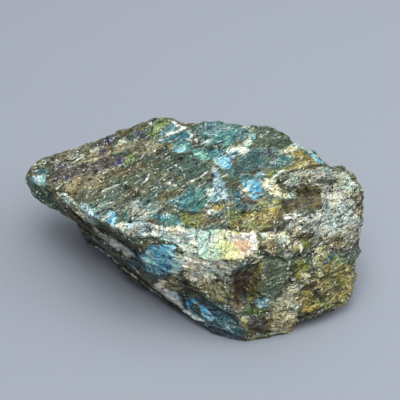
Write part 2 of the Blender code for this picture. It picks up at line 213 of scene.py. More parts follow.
# Cleavage plates: (length, width, thickness) of one, and how far their edges stand out.
PLATES = (((15, 11, 4.6), 0.85), ((7.5, 5.5, 2.6), 0.35))
PLATE_CRISPNESS = 20  # higher makes the steps between plates steeper
WANDER = (9, 1.0)  # size and reach of the bends in edges that would otherwise be ruled lines
SWELL = (14, 0.45)  # size and height of the broad unevenness
CALM = {  # smooth faces: centre, radius, and the share of the relief that is left
    "brow": ((11.5, -28.5, 33), 13, 0.25),
    "glassy_face": ((29.5, -33, 22), 8, 0.4),
    "top_face": ((-8, 4, 36), 26, 0.6),
    "sole": ((15, -2, 0), 34, 0),
}
GRID = 128  # squares along one side of the cube that the mesh is projected from
WORN = 0.5  # how far each point moves to the middle of its neighbours, as weathering does
SEEDS = {  # whole numbers that set one noise apart from another
    "wander": 11,
    "plates": 40,
    "swell": 80,
    "top_chips": 140,
    "crumbs": 160,
    "forms": 211,
    "side_chips": 240,
}


def facing(compass, elevation):
    """Unit vector towards a compass direction (0 along +X, 90 along +Y) and an elevation."""
    turn, rise = np.radians(compass), np.radians(elevation)
    return np.array([np.cos(rise) * np.cos(turn), np.cos(rise) * np.sin(turn), np.sin(rise)])


def scatter(cell, seed):
    """A repeatable number from 0 to 1 for each whole-numbered cell of space.

    The cell's numbers are multiplied by large odd numbers, and their bits are mixed.
    """
    mixed = cell[..., 0] * 73856093 ^ cell[..., 1] * 19349663 ^ cell[..., 2] * 83492791
    mixed = mixed ^ seed * 2654435761
    for factor in (1274126177, 2246822519):
        mixed = (mixed ^ mixed >> 15) * factor & 0xFFFFFFFF
    return (mixed >> 8 & 0xFFFF) / 0xFFFF


def noise(points, seed, octaves=3):
    """Smooth noise, about -1 to 1.

    Each octave blends the numbers of the corners of the point's cell by how near they are, and
    is half as high as the last one and about half as wide.
    """
    total, height = 0, 1
    for octave in range(octaves):
        place = points * 2.03**octave + 7.3 * octave
        cell = np.floor(place).astype(np.int64)
        part = place - cell
        part = part * part * (3 - 2 * part)
        for corner in np.ndindex(2, 2, 2):
            share = np.where(corner, part, 1 - part).prod(-1)
            total = total + height * share * (2 * scatter(cell + corner, seed + octave) - 1)
        height /= 2
    return total


def drifting(points, seed):
    """A vector of three noises at each point."""
    return np.stack([noise(points, seed + 10 * axis) for axis in range(3)], -1)


def flat_chips(points, seed, crispness):
    """Flat tilted chips, about -1 to 1.

    Each point takes the planes of the middles scattered round it, and the nearest middle
    outweighs the rest but for a narrow bevel half way to the next one.
    """
    home = np.floor(points).astype(np.int64)
    height = weight = 0
    for neighbour in np.ndindex(3, 3, 3):
        cell = home + neighbour - 1
        jitter = np.stack([scatter(cell, seed + k) for k in (1, 2, 3)], -1)
        tilt = np.stack([2 * scatter(cell, seed + k) - 1 for k in (5, 6, 7)], -1)
        offset = points - cell - jitter
        share = np.exp(-crispness * (offset**2).sum(-1)) + 1e-30
        plane = 2 * scatter(cell, seed + 4) - 1 + 0.8 * (tilt * offset).sum(-1)
        height = height + share * plane
        weight = weight + share
    return height / weight


def breaks():
    """Normals of the flat breaks between the corners, and their distances from the heart.

    A break is a plane through three corners with no other corner in front of it.
    """
    points = np.array(list(CORNERS.values()), float) - HEART
    a, b, c = np.array(
        [(i, j, k) for i in range(len(points)) for j in range(i) for k in range(j)]
    ).T
    normals = np.cross(points[b] - points[a], points[c] - points[a])
    lengths = np.linalg.norm(normals, axis=1)
    a, normals = a[lengths > 1e-6], normals[lengths > 1e-6] / lengths[lengths > 1e-6, None]
    distances = (normals * points[a]).sum(1)
    normals, distances = normals * np.sign(distances)[:, None], np.abs(distances)
    outer = (points @ normals.T <= distances + 1e-6).all(0)
    planes = np.column_stack([normals[outer], distances[outer]])
    planes = planes[np.unique(np.round(planes, 6), axis=0, return_index=True)[1]]
    return planes[:, :3], planes[:, 3]


def block_distance(ways):
    """Distance to the block along each way, a soft minimum over its breaks, and its normal."""
    normals, distances = breaks()
    nearness = np.clip(ways @ normals.T / distances, 1e-6, None)
    closest = nearness.max(1, keepdims=True)
    weights = (nearness / closest) ** EDGE_SHARPNESS
    reach = 1 / (closest[:, 0] * weights.sum(1) ** (1 / EDGE_SHARPNESS))
    normal = weights @ normals
    return reach, normal / np.linalg.norm(normal, axis=1, keepdims=True)


def cut_ledge(reach, ways, faces):
    """The distance after a ledge: where a way enters the space in front of all its faces."""
    enters, leaves = np.zeros(len(ways)), np.full(len(ways), np.inf)
    for point, compass, elevation in faces:
        normal = facing(compass, elevation)
        lean = ways @ normal
        meets = (normal @ np.subtract(point, HEART)) / np.where(lean == 0, 1e-9, lean)
        enters = np.where(lean > 0, np.maximum(enters, meets), enters)
        leaves = np.where(lean <= 0, np.minimum(leaves, meets), leaves)
    return np.where((enters > 0) & (enters < leaves), np.minimum(reach, enters), reach)


def cut_scoop(reach, ways, centre, half_sizes, compass, lip):
    """The distance after a scoop: where a way enters its ellipsoid, rounded at the lip."""
    frame = np.stack([facing(compass, 0), facing(compass + 90, 0), facing(0, 90)])
    frame = frame / np.array(half_sizes)[:, None]
    middle, rays = frame @ np.subtract(centre, HEART), ways @ frame.T
    squares, along = (rays**2).sum(1), rays @ middle
    room = along**2 - squares * (middle @ middle - 1)
    enters = (along - np.sqrt(np.maximum(room, 0))) / squares
    blend = np.clip(0.5 + 0.5 * (enters - reach) / lip, 0, 1)
    rounded = enters + (reach - enters) * blend - lip * blend * (1 - blend)
    return np.where((room > 0) & (enters > 0), np.minimum(rounded, reach), reach)


def calmness(points):
    """Share of the relief at each point: less on the smooth faces."""
    share = np.ones(len(points))
    for centre, radius, left in CALM.values():
        gap = ((points - centre) ** 2).sum(1) / radius**2
        share *= 1 - (1 - left) * np.exp(-gap)
    return share


def bedding_axes():
    """The plates' run, the way across it, and the bedding's normal, as rows."""
    up = facing(*BEDDING_FACES)
    run = facing(BEDDING_RUNS, 0)
    run = run - up * (run @ up)
    return np.stack([run / np.linalg.norm(run), np.cross(up, run), up])


def relief(points):
    """Height of the plates' edges and the broad swell, with the bedding's own axes as the grid."""
    size, height = SWELL
    total = height * noise(points / size, SEEDS["swell"])
    for layer, (plate, edge) in enumerate(PLATES):
        spots = points @ bedding_axes().T / plate + 3.7 * layer
        total += edge * flat_chips(spots, SEEDS["plates"] + 20 * layer, PLATE_CRISPNESS)
    return total


def stone_surface(directions):
    """Points of the stone's skin for unit directions.

    The block's distance is cut by the ledges and the scoops, then raised by the relief over the
    slant of the face, and ends at the ground.
    """
    ways = directions * REACH
    ways /= np.linalg.norm(ways, axis=1, keepdims=True)
    reach, normal = block_distance(ways)
    skin = HEART + ways * reach[:, None]
    size, bend = WANDER
    drift = bend * drifting(skin / size, SEEDS["wander"])
    bent = skin + drift - HEART
    bent /= np.linalg.norm(bent, axis=1, keepdims=True)
    for faces in LEDGES.values():
        reach = cut_ledge(reach, bent, faces)
    for scoop in SCOOPS.values():
        reach = cut_scoop(reach, bent, *scoop)
    skin = HEART + ways * reach[:, None]
    height = relief(skin + 0.6 * drift) * calmness(skin)
    reach += height / np.clip((normal * ways).sum(1), 0.5, 1)
    ground = HEART[2] / np.maximum(-ways[:, 2], 1e-6)
    return HEART + ways * np.minimum(reach, ground)[:, None]


def gridded_cube(squares):
    """Unit directions to a cube's six gridded faces, welded at its edges, and the squares.

    The grid lines stand at equal angles, the tangents of -45 to 45 degrees.
    """
    steps = np.tan(np.linspace(-np.pi / 4, np.pi / 4, squares + 1))
    steps[[0, -1]] = -1, 1
    a, b = np.meshgrid(steps, steps, indexing="ij")
    one = np.ones_like(a)
    sides = [(one, a, b), (-one, b, a), (b, one, a), (a, -one, b), (a, b, one), (b, a, -one)]
    points = np.concatenate([np.stack(side, -1).reshape(-1, 3) for side in sides])
    count = squares + 1
    corner = np.arange(count * squares).reshape(squares, count)[:, :squares].ravel()
    quad = np.stack([corner, corner + count, corner + count + 1, corner + 1], -1)
    quads = np.concatenate([quad + side * count**2 for side in range(6)])
    _, first, welded = np.unique(
        np.round(points, 6), axis=0, return_index=True, return_inverse=True
    )
    directions = points[first]
    return directions / np.linalg.norm(directions, axis=1, keepdims=True), welded.ravel()[quads]


def worn(points, quads, share):
    """Each point moved by a share of the way to the middle of the points it is joined to."""
    starts = quads.ravel()
    ends = np.roll(quads, -1, axis=1).ravel()
    counts = np.bincount(starts, minlength=len(points))
    middles = np.stack(
        [np.bincount(starts, points[ends, axis], len(points)) / counts for axis in range(3)], -1
    )
    return points + share * (middles - points)


def normals_of(points, quads):
    """Unit normal at each point: the sum of its squares' diagonals' cross products."""
    a, b, c, d = (points[quads[:, k]] for k in range(4))
    crosses = np.cross(c - a, d - b)
    total = np.zeros_like(points)
    for axis in range(3):
        for k in range(4):
            total[:, axis] += np.bincount(quads[:, k], crosses[:, axis], len(points))
    return total / np.maximum(np.linalg.norm(total, axis=1, keepdims=True), 1e-12)


def gap_to(start, end, spots):
    """Each spot's distance to the straight side between two points."""
    run = end - start
    share = np.clip((spots - start) @ run / (run @ run), 0, 1)
    return np.linalg.norm(spots - start - share[:, None] * run, axis=1)


def depth_inside(outline, spots):
    """Each spot's distance to the nearest side of the outline, negative outside it.

    A spot is inside where a level line to its right crosses the sides an odd number of times.
    """
    starts = np.array(outline, float)
    nearest, inside = np.full(len(spots), np.inf), np.zeros(len(spots), bool)
    for a, b in zip(starts, np.roll(starts, -1, 0)):
        nearest = np.minimum(nearest, gap_to(a, b, spots))
        if a[1] != b[1]:
            crosses = (a[1] > spots[:, 1]) != (b[1] > spots[:, 1])
            slope = (b[0] - a[0]) / (b[1] - a[1])
            inside ^= crosses & (spots[:, 0] < a[0] + slope * (spots[:, 1] - a[1]))
    return np.where(inside, nearest, -nearest)


def with_forms(points, normals):
    """The points with each form raised or sunk along the way that it is seen from."""
    size, bend = WANDER
    spots = points + bend * drifting(points / size * 2, SEEDS["forms"])
    moved = points.copy()
    for view, height, *outline in FORMS.values():
        seen = spots[:, [0, 1]] if view == TOP else spots[:, [0, 2]]
        faces = normals[:, 2] if view == TOP else -normals[:, 1]
        share = np.clip(0.5 + depth_inside(outline, seen) / FORM_WALL, 0, 1)
        share *= np.clip(faces * 4 - 0.4, 0, 1)
        if view == TOP:
            moved[:, 2] += height * share
        else:
            moved[:, 1] -= height * share
    return moved


directions, quads = gridded_cube(GRID)
skin = stone_surface(directions)
skin = with_forms(skin, normals_of(worn(skin, quads, 1), quads))
skin = worn(skin, quads, WORN)
skin[:, :2] -= (skin.max(0) + skin.min(0))[:2] / 2
skin[:, 2] = np.maximum(skin[:, 2], 0)
facets = normals_of(worn(skin, quads, 1), quads)

# --- The minerals in it -------------------------------------------------------------------
# The feldspar is dark and grainy, crushed white along its edges and stained olive and gold,
# and where its lamellae lie right its flashes of blue, teal, green and yellow are painted sheen.
# Each patch is its mineral, then its outline as the maker sees it from in front and above:
# millimetres along the stone and up the view.

PATCHES = {
    "tip_glass": ("deep_teal", (-56, 32.5), (-54.5, 34.5), (-49.5, 35), (-50, 32.5), (-53, 31.5)),
    "tip_edge": ("cyan", (-59, 30.5), (-55.5, 31.5), (-52, 31.5), (-51.5, 29), (-53.5, 28),
        (-57.5, 29.5)),
    "rim_dark": ("dark", (-58, 33.5), (-49, 39.5), (-40, 45), (-29, 48), (-21, 49.5), (-20, 47.5),
        (-29, 45.5), (-39, 42), (-47.5, 37.5), (-54.5, 35.5)),
    "rim_dark_low": ("plum", (-51, 34.5), (-47, 36), (-41.5, 36.5), (-35, 38.5), (-28, 39.5),
        (-23, 37.5), (-27.5, 35), (-33, 33), (-39, 31.5), (-44, 30), (-48, 28), (-50, 31)),
    "rim_cream_1": ("cream", (-53.5, 36.5), (-48, 37.5), (-47, 36.5), (-52, 36)),
    "rim_cream_2": ("cream", (-47, 37.5), (-43, 39), (-39, 40.5), (-39, 38.5), (-44.5, 37.5)),
    "rim_cream_3": ("cream", (-37, 39.5), (-35.5, 42), (-32.5, 43), (-33, 40), (-35.5, 38.5)),
    "rim_cream_4": ("cream", (-31.5, 42.5), (-27.5, 43.5), (-23, 46), (-23.5, 44.5), (-28.5, 42)),
    "rim_cream_5": ("cream", (-17, 42.5), (-15, 44), (-13.5, 42.5), (-15.5, 41.5)),
    "rim_violet_1": ("violet", (-34.5, 43), (-31.5, 45), (-28, 46), (-29, 44.5), (-32, 43.5)),
    "rim_violet_2": ("violet", (-20.5, 48.5), (-18.5, 48.5), (-18, 47), (-19.5, 46)),
    "rim_violet_3": ("violet", (-28, 36.5), (-25.5, 38), (-24.5, 37), (-27, 35.5)),
    "rim_violet_4": ("violet", (-51.5, 36), (-47, 36), (-43.5, 36.5), (-43, 35), (-47.5, 34.5)),
    "rim_violet_5": ("violet", (-45, 31.5), (-43, 32.5), (-42, 31), (-44, 30)),
    "rim_violet_6": ("violet", (-33.5, 41), (-31, 42), (-30.5, 40), (-32.5, 39.5)),
    "rim_tan": ("tan", (-46.5, 36.5), (-38.5, 40), (-31.5, 42.5), (-22, 44.5), (-14.5, 45),
        (-10, 42.5), (-14.5, 40), (-22.5, 40.5), (-28, 39.5), (-36, 37), (-43, 35)),
    "tan_slope": ("tan", (-46.5, 29), (-44, 31), (-39, 31.5), (-32.5, 31.5), (-29.5, 33),
        (-29.5, 31), (-32, 28), (-37.5, 27), (-43.5, 26.5)),
    "brown_slope": ("brown", (-33, 31.5), (-29, 34.5), (-22, 36), (-17.5, 35), (-18, 32.5),
        (-24, 31.5), (-30, 28.5)),
    "green_slope": ("green", (-25.5, 38), (-22.5, 39.5), (-19, 39.5), (-19, 37.5), (-23.5, 36.5)),
    "top_dark": ("deep", (-6.5, 38.5), (-1.5, 39.5), (3.5, 37), (7, 35.5), (5.5, 32), (1.5, 30),
        (-2.5, 30.5), (-6, 34.5)),
    "slope_teal_1": ("olive", (-19, 36.5), (-18, 39), (-12, 40), (-9, 39), (-10.5, 37),
        (-15.5, 36)),
    "slope_teal_2": ("olive", (-27, 29), (-25, 31), (-21.5, 30.5), (-22, 29)),
    "slope_teal_3": ("deep_teal", (-12.5, 28.5), (-11, 29.5), (-9, 28), (-11, 27)),
    "lump_gold": ("brown", (-21, 49.5), (-17, 52), (-14, 52.5), (-13.5, 50), (-16, 48), (-19, 48)),
    "lump_green": ("green", (-16, 48), (-14, 52), (-10.5, 53.5), (-7, 53), (-8, 50.5), (-11, 48.5),
        (-12.5, 45.5), (-15.5, 46)),
    "lump_teal": ("steel", (-11, 48), (-8.5, 50.5), (-5.5, 51.5), (-4.5, 49.5), (-8, 47),
        (-11, 45.5)),
    "blue_facet": ("deep_blue", (-11.5, 44.5), (-7.5, 46.5), (-4, 48.5), (-1, 48), (1.5, 45),
        (-1, 44.5), (-5, 44.5), (-8.5, 44)),
    "blue_facet_foot": ("teal", (-8.5, 44), (-4.5, 44.5), (0, 44.5), (0.5, 42.5), (-1.5, 41.5),
        (-5.5, 41.5)),
    "facet_cyan": ("cyan", (-6.5, 41.5), (-2, 42), (-2, 40.5), (-5, 40)),
    "facet_shade": ("shale", (0.5, 43.5), (2, 45), (3.5, 44.5), (4, 42.5), (1.5, 41.5)),
    "crest_teal": ("steel", (1.5, 48), (4, 50.5), (8, 51.5), (12, 52), (14.5, 50), (11.5, 48.5),
        (8, 47), (3.5, 46)),
    "crest_mint": ("teal", (2.5, 47), (5.5, 48), (8.5, 47.5), (7, 45.5), (3, 45.5)),
    "crest_green": ("teal", (3, 45), (8, 46.5), (11.5, 49), (18, 50), (21.5, 49), (21.5, 46),
        (17.5, 43.5), (12.5, 42), (5, 42)),
    "crest_tan": ("olive_gold", (3, 44.5), (6.5, 45.5), (8.5, 45), (7.5, 43.5), (4, 43)),
    "crest_teal_low": ("teal", (-1.5, 42), (5.5, 42), (13.5, 42), (14, 40.5), (9, 38), (5.5, 37),
        (1.5, 38)),
    "crest_dark": ("deep_teal", (3, 41), (7.5, 41), (11.5, 41), (8.5, 38.5), (7.5, 36), (4.5, 37)),
    "mint_patch": ("mint", (1.5, 39.5), (3.5, 40.5), (6, 40), (6.5, 38), (3.5, 37)),
    "crest_white_1": ("cream", (17, 42.5), (20, 44.5), (23, 45.5), (22, 43.5), (19.5, 42),
        (17.5, 41.5)),
    "crest_white_2": ("milky", (13.5, 41), (17, 42), (21, 41), (19, 39.5), (15.5, 39.5)),
    "crest_white_3": ("cream", (19.5, 49.5), (23, 49.5), (23, 48.5), (20.5, 48)),
    "crest_cyan": ("cyan", (21, 46), (23, 46.5), (23, 44.5), (21.5, 44)),
    "cyan_flash": ("cyan", (8, 37), (10, 38.5), (12, 39), (14.5, 38), (14.5, 36), (13, 34),
        (11, 34), (9.5, 35.5)),
    "pale_flash": ("lilac", (13, 41), (16.5, 40.5), (17, 39.5), (15.5, 37), (13.5, 38)),
    "flash_blue": ("deep_blue", (14.5, 40), (16.5, 40), (17.5, 39), (15, 39)),
    "white_band": ("lilac", (7.5, 35), (9.5, 34.5), (10.5, 32.5), (9.5, 30.5), (12, 28.5),
        (12.5, 25.5), (13.5, 22), (12, 22.5), (10, 25), (8, 28), (8.5, 30.5), (7.5, 32.5)),
    "band_olive": ("olive", (12.5, 31.5), (15.5, 31), (16.5, 29), (14, 28.5), (12.5, 30)),
    "dark_facet": ("deep_teal", (16.5, 37), (21, 40), (25.5, 42), (28.5, 41), (30, 39.5),
        (27.5, 37), (23.5, 34), (19.5, 32.5), (16, 31), (12.5, 31.5), (13.5, 33.5)),
    "facet_deep": ("navy", (24.5, 41), (28.5, 42), (30.5, 40), (29, 38), (25.5, 38.5)),
    "rim_olive": ("olive", (23, 48.5), (28, 49.5), (34.5, 48.5), (38, 45), (35, 42.5), (30.5, 41),
        (25.5, 42.5), (23, 44)),
    "rim_brown": ("brown", (28.5, 42.5), (32, 45), (37, 44.5), (35, 42), (30.5, 40.5)),
    "rim_cream_6": ("cream", (30.5, 39.5), (33, 41), (36.5, 42), (39.5, 44.5), (40, 42),
        (36.5, 40.5), (33, 39.5)),
    "rim_lilac": ("lilac", (35.5, 42.5), (38, 44.5), (39.5, 44), (42, 41.5), (40.5, 41), (38, 42)),
    "rim_blue_1": ("deep_blue", (30.5, 37), (32, 38.5), (35.5, 39), (36, 37), (33.5, 36),
        (31, 35.5)),
    "rim_blue_2": ("deep_blue", (25.5, 35), (29, 37), (30, 35.5), (28.5, 34), (26, 34)),
    "rim_green": ("green", (26.5, 31.5), (28.5, 33.5), (33, 35.5), (33, 34), (31, 32),
        (27.5, 30.5)),
    "rim_gold": ("olive_gold", (35.5, 40), (39.5, 41), (42, 39), (45.5, 36), (43.5, 34.5),
        (38, 33.5), (32.5, 33), (34.5, 35), (36, 37)),
    "rim_sliver": ("cyan", (41.5, 40.5), (43.5, 40.5), (47.5, 36.5), (46.5, 35.5), (45, 36),
        (43, 38.5)),
    "blue_flash": ("blue", (17, 29.5), (19.5, 30.5), (23, 29.5), (23.5, 27.5), (24.5, 25),
        (22.5, 26), (21, 25), (20.5, 26.5), (18.5, 27.5)),
    "flash_dark": ("deep_blue", (17.5, 31.5), (19.5, 33), (22.5, 31.5), (21, 30), (18, 30)),
    "flash_pale": ("steel", (20.5, 30.5), (22, 33), (24.5, 34), (25.5, 32), (24, 29.5),
        (21.5, 29.5)),
    "blue_flash_2": ("deep_blue", (14, 24.5), (16.5, 26), (17.5, 25), (17, 22.5), (15.5, 21.5),
        (14.5, 22.5)),
    "flash_mint": ("cyan", (20, 24.5), (22, 25.5), (23.5, 25), (22, 23.5), (20.5, 23.5)),
    "flash_rust": ("rust", (17, 23), (19, 24), (22, 23.5), (26, 24), (26.5, 23), (23.5, 22),
        (20.5, 22), (18.5, 21)),
    "near_teal_spot": ("deep_teal", (15, 21), (18, 21.5), (21, 21), (20, 19.5), (16, 19.5)),
    "dark_spot_1": ("deep", (12.5, 28), (14.5, 28), (17, 27), (16, 26.5), (14.5, 26), (13, 24),
        (12.5, 26)),
    "crushed_right": ("cream", (24, 29.5), (25.5, 31.5), (27, 30), (29, 29.5), (30, 26.5),
        (30, 24), (27, 25), (26, 26.5), (24.5, 27.5)),
    "crushed_olive": ("olive_gold", (26.5, 29.5), (29, 30), (31, 28.5), (29.5, 26.5), (27.5, 27)),
    "gold_right_1": ("gold", (22.5, 21.5), (24.5, 23), (26.5, 22), (27, 19), (28.5, 17),
        (26.5, 16), (24, 18)),
    "gold_deep": ("olive_gold", (26, 22), (28.5, 23.5), (30.5, 22), (30, 20), (28.5, 17.5),
        (27, 19.5)),
    "slab": ("slab", (31, 30.5), (35, 32.5), (39, 33.5), (44.5, 34.5), (50.5, 34.5), (52.5, 33),
        (54.5, 30), (50.5, 29.5), (45, 30), (39.5, 29), (33.5, 29)),
    "slab_foot": ("slab", (32.5, 28.5), (36, 29), (41.5, 28), (47.5, 28.5), (49, 27), (43.5, 27),
        (37.5, 28), (36, 26.5), (34, 27)),
    "end_white": ("cream", (45, 28), (48.5, 28.5), (52, 29.5), (56, 29.5), (58.5, 27.5), (57, 26),
        (53.5, 26), (49, 27)),
    "end_teal": ("deep_teal", (44.5, 22), (46, 22.5), (47, 20.5), (46, 19.5), (44.5, 20)),
    "end_green": ("dull_grey", (47.5, 22), (51, 22.5), (53.5, 21), (51.5, 19), (48, 19.5)),
    "end_edge": ("dark", (56, 26), (58, 27.5), (61, 23), (60.5, 19), (59, 17), (57, 19.5),
        (56, 23)),
    "recess": ("umber", (36, 26), (38, 27.5), (41.5, 28), (44.5, 27), (45, 24), (44, 21),
        (40.5, 19.5), (38, 21), (36, 22), (35.5, 24)),
    # painted shade: the back of the recess, where the slab shades it
    "recess_dark": ("shale", (30, 23.5), (34, 24), (36.5, 24), (38, 22), (34.5, 21.5), (31, 21.5)),
    "recess_low": ("brown", (29.5, 21), (33, 21.5), (37, 21), (41, 20), (38, 19), (34.5, 18),
        (30.5, 17.5), (28.5, 18)),
    "recess_gold": ("cream", (29.5, 26.5), (31.5, 27.5), (34, 27), (36, 27), (36, 24.5),
        (33.5, 24), (30.5, 23.5), (29, 24.5)),
    "teal_lens": ("teal", (-6.5, 22.5), (-4, 24.5), (-1, 26.5), (2, 27), (5, 27), (5.5, 24),
        (5, 21), (1.5, 19.5), (-2, 20), (-5, 21)),
    "lens_low": ("teal", (0, 23), (5.5, 24), (4.5, 21), (1, 19.5), (-2, 20)),
    "lens_blue": ("deep_blue", (-6.5, 22.5), (-4.5, 24), (-2.5, 24.5), (-2, 23), (-3.5, 21),
        (-5, 21)),
    "lens_dark": ("deep_teal", (-0.5, 27), (2.5, 27.5), (5, 27), (4.5, 25.5), (1.5, 26)),
    "lens_brown": ("brown", (-13.5, 23), (-9.5, 26.5), (-4.5, 27), (-1.5, 27.5), (-4, 25),
        (-6.5, 23), (-10, 22)),
    "lens_grey": ("pale_grey", (5.5, 26.5), (8, 27), (10, 24.5), (11, 22.5), (8.5, 22), (6, 23)),
    "lens_cream": ("grey", (5, 22), (7, 23), (8, 21), (10, 19), (7.5, 18), (5.5, 19.5)),
    "near_olive_1": ("moss", (-3, 18.5), (0, 19), (4, 19), (5.5, 18), (4, 15.5), (1.5, 13.5),
        (-1, 14.5), (-2.5, 16.5)),
    "near_green_2": ("green", (-1, 16.5), (1.5, 17), (3.5, 16.5), (3, 14.5), (0.5, 14.5)),
    "near_olive_2": ("umber", (4, 17), (7, 17.5), (9.5, 17), (9.5, 15), (6, 14.5), (4, 15)),
    "near_gold_3": ("gold", (7.5, 21.5), (10, 22), (11, 21), (9.5, 19.5), (8, 20)),
    "near_olive_3": ("olive_gold", (12.5, 19.5), (18, 20), (22.5, 19.5), (26.5, 14.5), (23.5, 12),
        (17.5, 13), (12.5, 14.5)),
    "near_green": ("green", (12.5, 19.5), (17.5, 20.5), (18.5, 18.5), (16.5, 16.5), (13, 17)),
    "near_teal": ("teal", (-13, 18), (-9, 18.5), (-4, 17.5), (-3, 15.5), (-6.5, 14.5),
        (-10.5, 15.5)),
    "near_grey": ("dull_grey", (-21.5, 21), (-17, 22.5), (-11, 21.5), (-10.5, 18), (-14.5, 16),
        (-20, 17.5)),
    "edge_cyan_1": ("pale", (-40, 22), (-36, 21.5), (-32.5, 19), (-30.5, 17), (-33, 16.5),
        (-37, 19)),
    "edge_cyan_2": ("cyan", (-27, 20), (-25, 20), (-24.5, 17), (-25.5, 14), (-28.5, 16.5)),
    "edge_pale": ("lilac", (-18.5, 14.5), (-16, 16), (-13.5, 16), (-12.5, 14.5), (-13, 12.5),
        (-15.5, 12.5)),
    "edge_violet": ("violet", (-13.5, 15.5), (-12.5, 16), (-12, 14.5), (-13, 13), (-13.5, 14)),
    "edge_cream": ("cream", (-47, 25.5), (-44.5, 26), (-39, 22), (-35, 17.5), (-31, 15.5),
        (-33.5, 15), (-39, 18.5), (-45, 23)),
    "end_cream": ("cream", (53, 31.5), (56, 29.5), (58.5, 26.5), (57, 25), (54, 28)),
    "ridge_cream": ("milky", (-26, 14.5), (-18, 16), (-9.5, 14.5), (2, 14), (2.5, 5), (-2.5, 3),
        (-1.5, 8), (-6.5, 10), (-13, 11.5), (-20.5, 11.5)),
    "ridge_line": ("brown", (-15, 10.5), (-12.5, 10.5), (-9.5, 9.5), (-5.5, 9), (-3, 8), (-4.5, 7),
        (-7.5, 8.5), (-11.5, 7.5), (-14.5, 8.5)),
    "ridge_pale": ("milky", (-10.5, 11.5), (-6.5, 11.5), (-2.5, 10.5), (1, 9), (3, 6), (2, 4.5),
        (-1, 6), (-4.5, 8.5), (-7.5, 9.5)),
    "rainbow": ("rainbow", (2.5, 13.5), (7.5, 13.5), (12, 13.5), (16.5, 13), (20.5, 13), (22, 10),
        (21.5, 7), (18.5, 4.5), (13, 4), (6.5, 3.5), (2.5, 5)),
    "frost": ("frost", (13, 12.5), (19.5, 12.5), (21, 11), (21, 9.5), (19, 10), (16.5, 10),
        (13.5, 10)),
    "sunny": ("sunny", (11.5, 8.5), (14, 8.5), (16.5, 7), (16.5, 5), (12.5, 4.5)),
    "ember": ("ember", (15, 10), (18, 9.5), (18.5, 6.5), (16.5, 7), (15, 8.5)),
    "rainbow_rim": ("cream_gold", (19.5, 13.5), (22, 12.5), (23, 9), (21.5, 5.5), (16.5, 3),
        (12, 1.5), (12.5, 4.5), (17.5, 6), (20.5, 9.5)),
    "under_rainbow": ("grey", (3.5, 4), (12, 4.5), (17, 4), (15, 1), (11.5, -3.5), (8, -0.5),
        (4, 1)),
    # painted shade: the undercut side, partly dark rock and partly its shade
    "side_dark": ("shale", (-45.5, 21.5), (-41.5, 19.5), (-32, 14), (-23, 9.5), (-18, 6),
        (-21.5, 3.5), (-28.5, 7), (-37, 12.5)),
    "side_navy": ("shale", (-30.5, 15.5), (-27, 14), (-23, 12), (-19, 9.5), (-15.5, 7), (-17.5, 6),
        (-22, 7.5), (-27, 10), (-31, 13)),
    "side_tip": ("plum", (-41.5, 19), (-35.5, 16.5), (-31.5, 13.5), (-31, 10), (-35, 13),
        (-39.5, 16)),
    # painted highlight: a pale strip in the undercut side's shade, painted pure white as a glint
    "side_strip": ("strip", (-29, 10.5), (-26, 10), (-23, 8.5), (-19.5, 6), (-18.5, 4), (-21.5, 4),
        (-25.5, 6.5), (-29, 8.5)),
    "side_cream": ("cream", (-33.5, 14), (-31, 13), (-27, 10.5), (-29, 8.5), (-31.5, 10.5)),
    "side_slate": ("navy", (-17, 1), (-13, 0), (-9, -1.5), (-7, -2.5), (-10, -3.5), (-14, -3),
        (-17, -1.5)),
    "side_blue_dark": ("navy", (-23, 3.5), (-19, 4.5), (-15.5, 4.5), (-15, 1.5), (-16.5, 0),
        (-20, 1)),
    "side_brown": ("brown", (-19, 9), (-14.5, 10), (-12.5, 8), (-14.5, 6), (-17, 5)),
    # painted shade: the keel band low on the undercut side
    "keel_band": ("shale", (-37.5, 11), (-29.5, 5.5), (-22, 1), (-16, -4.5), (-9.5, -9.5),
        (-1.5, -14.5), (9, -20.5), (7, -22), (-2, -17), (-11, -12), (-19.5, -6), (-29, 0.5),
        (-37.5, 9)),
    "hollow_blue": ("cell_blue", (-14.5, 7), (-13, 8), (-10.5, 7.5), (-8.5, 8.5), (-4.5, 8.5),
        (-3.5, 5.5), (-5.5, 2.5), (-5.5, 0.5), (-10, 0.5), (-14, -0.5), (-15.5, 1), (-15.5, 4),
        (-13.5, 5)),
    "hollow_tan": ("brown", (-10.5, 7.5), (-9, 7.5), (-9.5, 4), (-10.5, 2.5), (-11, 5)),
    "hollow_low": ("cell_blue", (-15.5, 3), (-12.5, 2), (-7.5, 1.5), (-6.5, -0.5), (-10, -1),
        (-14, -0.5)),
    "hollow_mint": ("cell_mint", (-4.5, 7), (-2.5, 5.5), (-2.5, 2.5), (-4, 3), (-4.5, 5)),
    "hollow_green": ("cell_mint", (-6, 3), (-4, 2.5), (-3, 0), (-4, -2), (-5.5, -0.5)),
    "hollow_dark": ("navy", (-21.5, 3.5), (-16, 6), (-15, 2.5), (-14, -0.5), (-17.5, 0)),
    "beige_face": ("beige", (-2, 3.5), (2.5, 4.5), (7.5, 3), (9.5, -0.5), (7, -4), (2, -4),
        (-2, -2)),
    "beige_cell": ("orange", (3, -1), (5.5, 0.5), (7.5, -1), (6, -3.5), (3.5, -3)),
    "beige_ring": ("brown", (3, 4.5), (6, 3.5), (8.5, 1.5), (10.5, -1.5), (9.5, -5), (8, -4.5),
        (8.5, -1.5), (6, 1.5), (3, 3)),
    "beige_foot": ("strip", (-12, -5.5), (-10, -4), (-7.5, -4), (-8, -5.5), (-10, -7.5)),
    "front_hole": ("shale", (-4, -3.5), (-1, -2.5), (1, -4), (4, -5), (4.5, -7), (1, -8),
        (-2, -6)),
    "hole_tan": ("tan", (-10, -5.5), (-6, -4.5), (-3, -5.5), (-1, -7.5), (-4, -7.5), (-8, -6.5)),
    "front_brown": ("cream_gold", (0, -4.5), (7, -4.5), (12.5, -3.5), (14, -8.5), (12, -11),
        (5.5, -9)),
    # painted highlight: a pale face in shade, painted pure white
    "triangle": ("strip", (-10, -7), (-7, -6.5), (-4, -7.5), (-2.5, -13), (-5, -12), (-8, -10)),
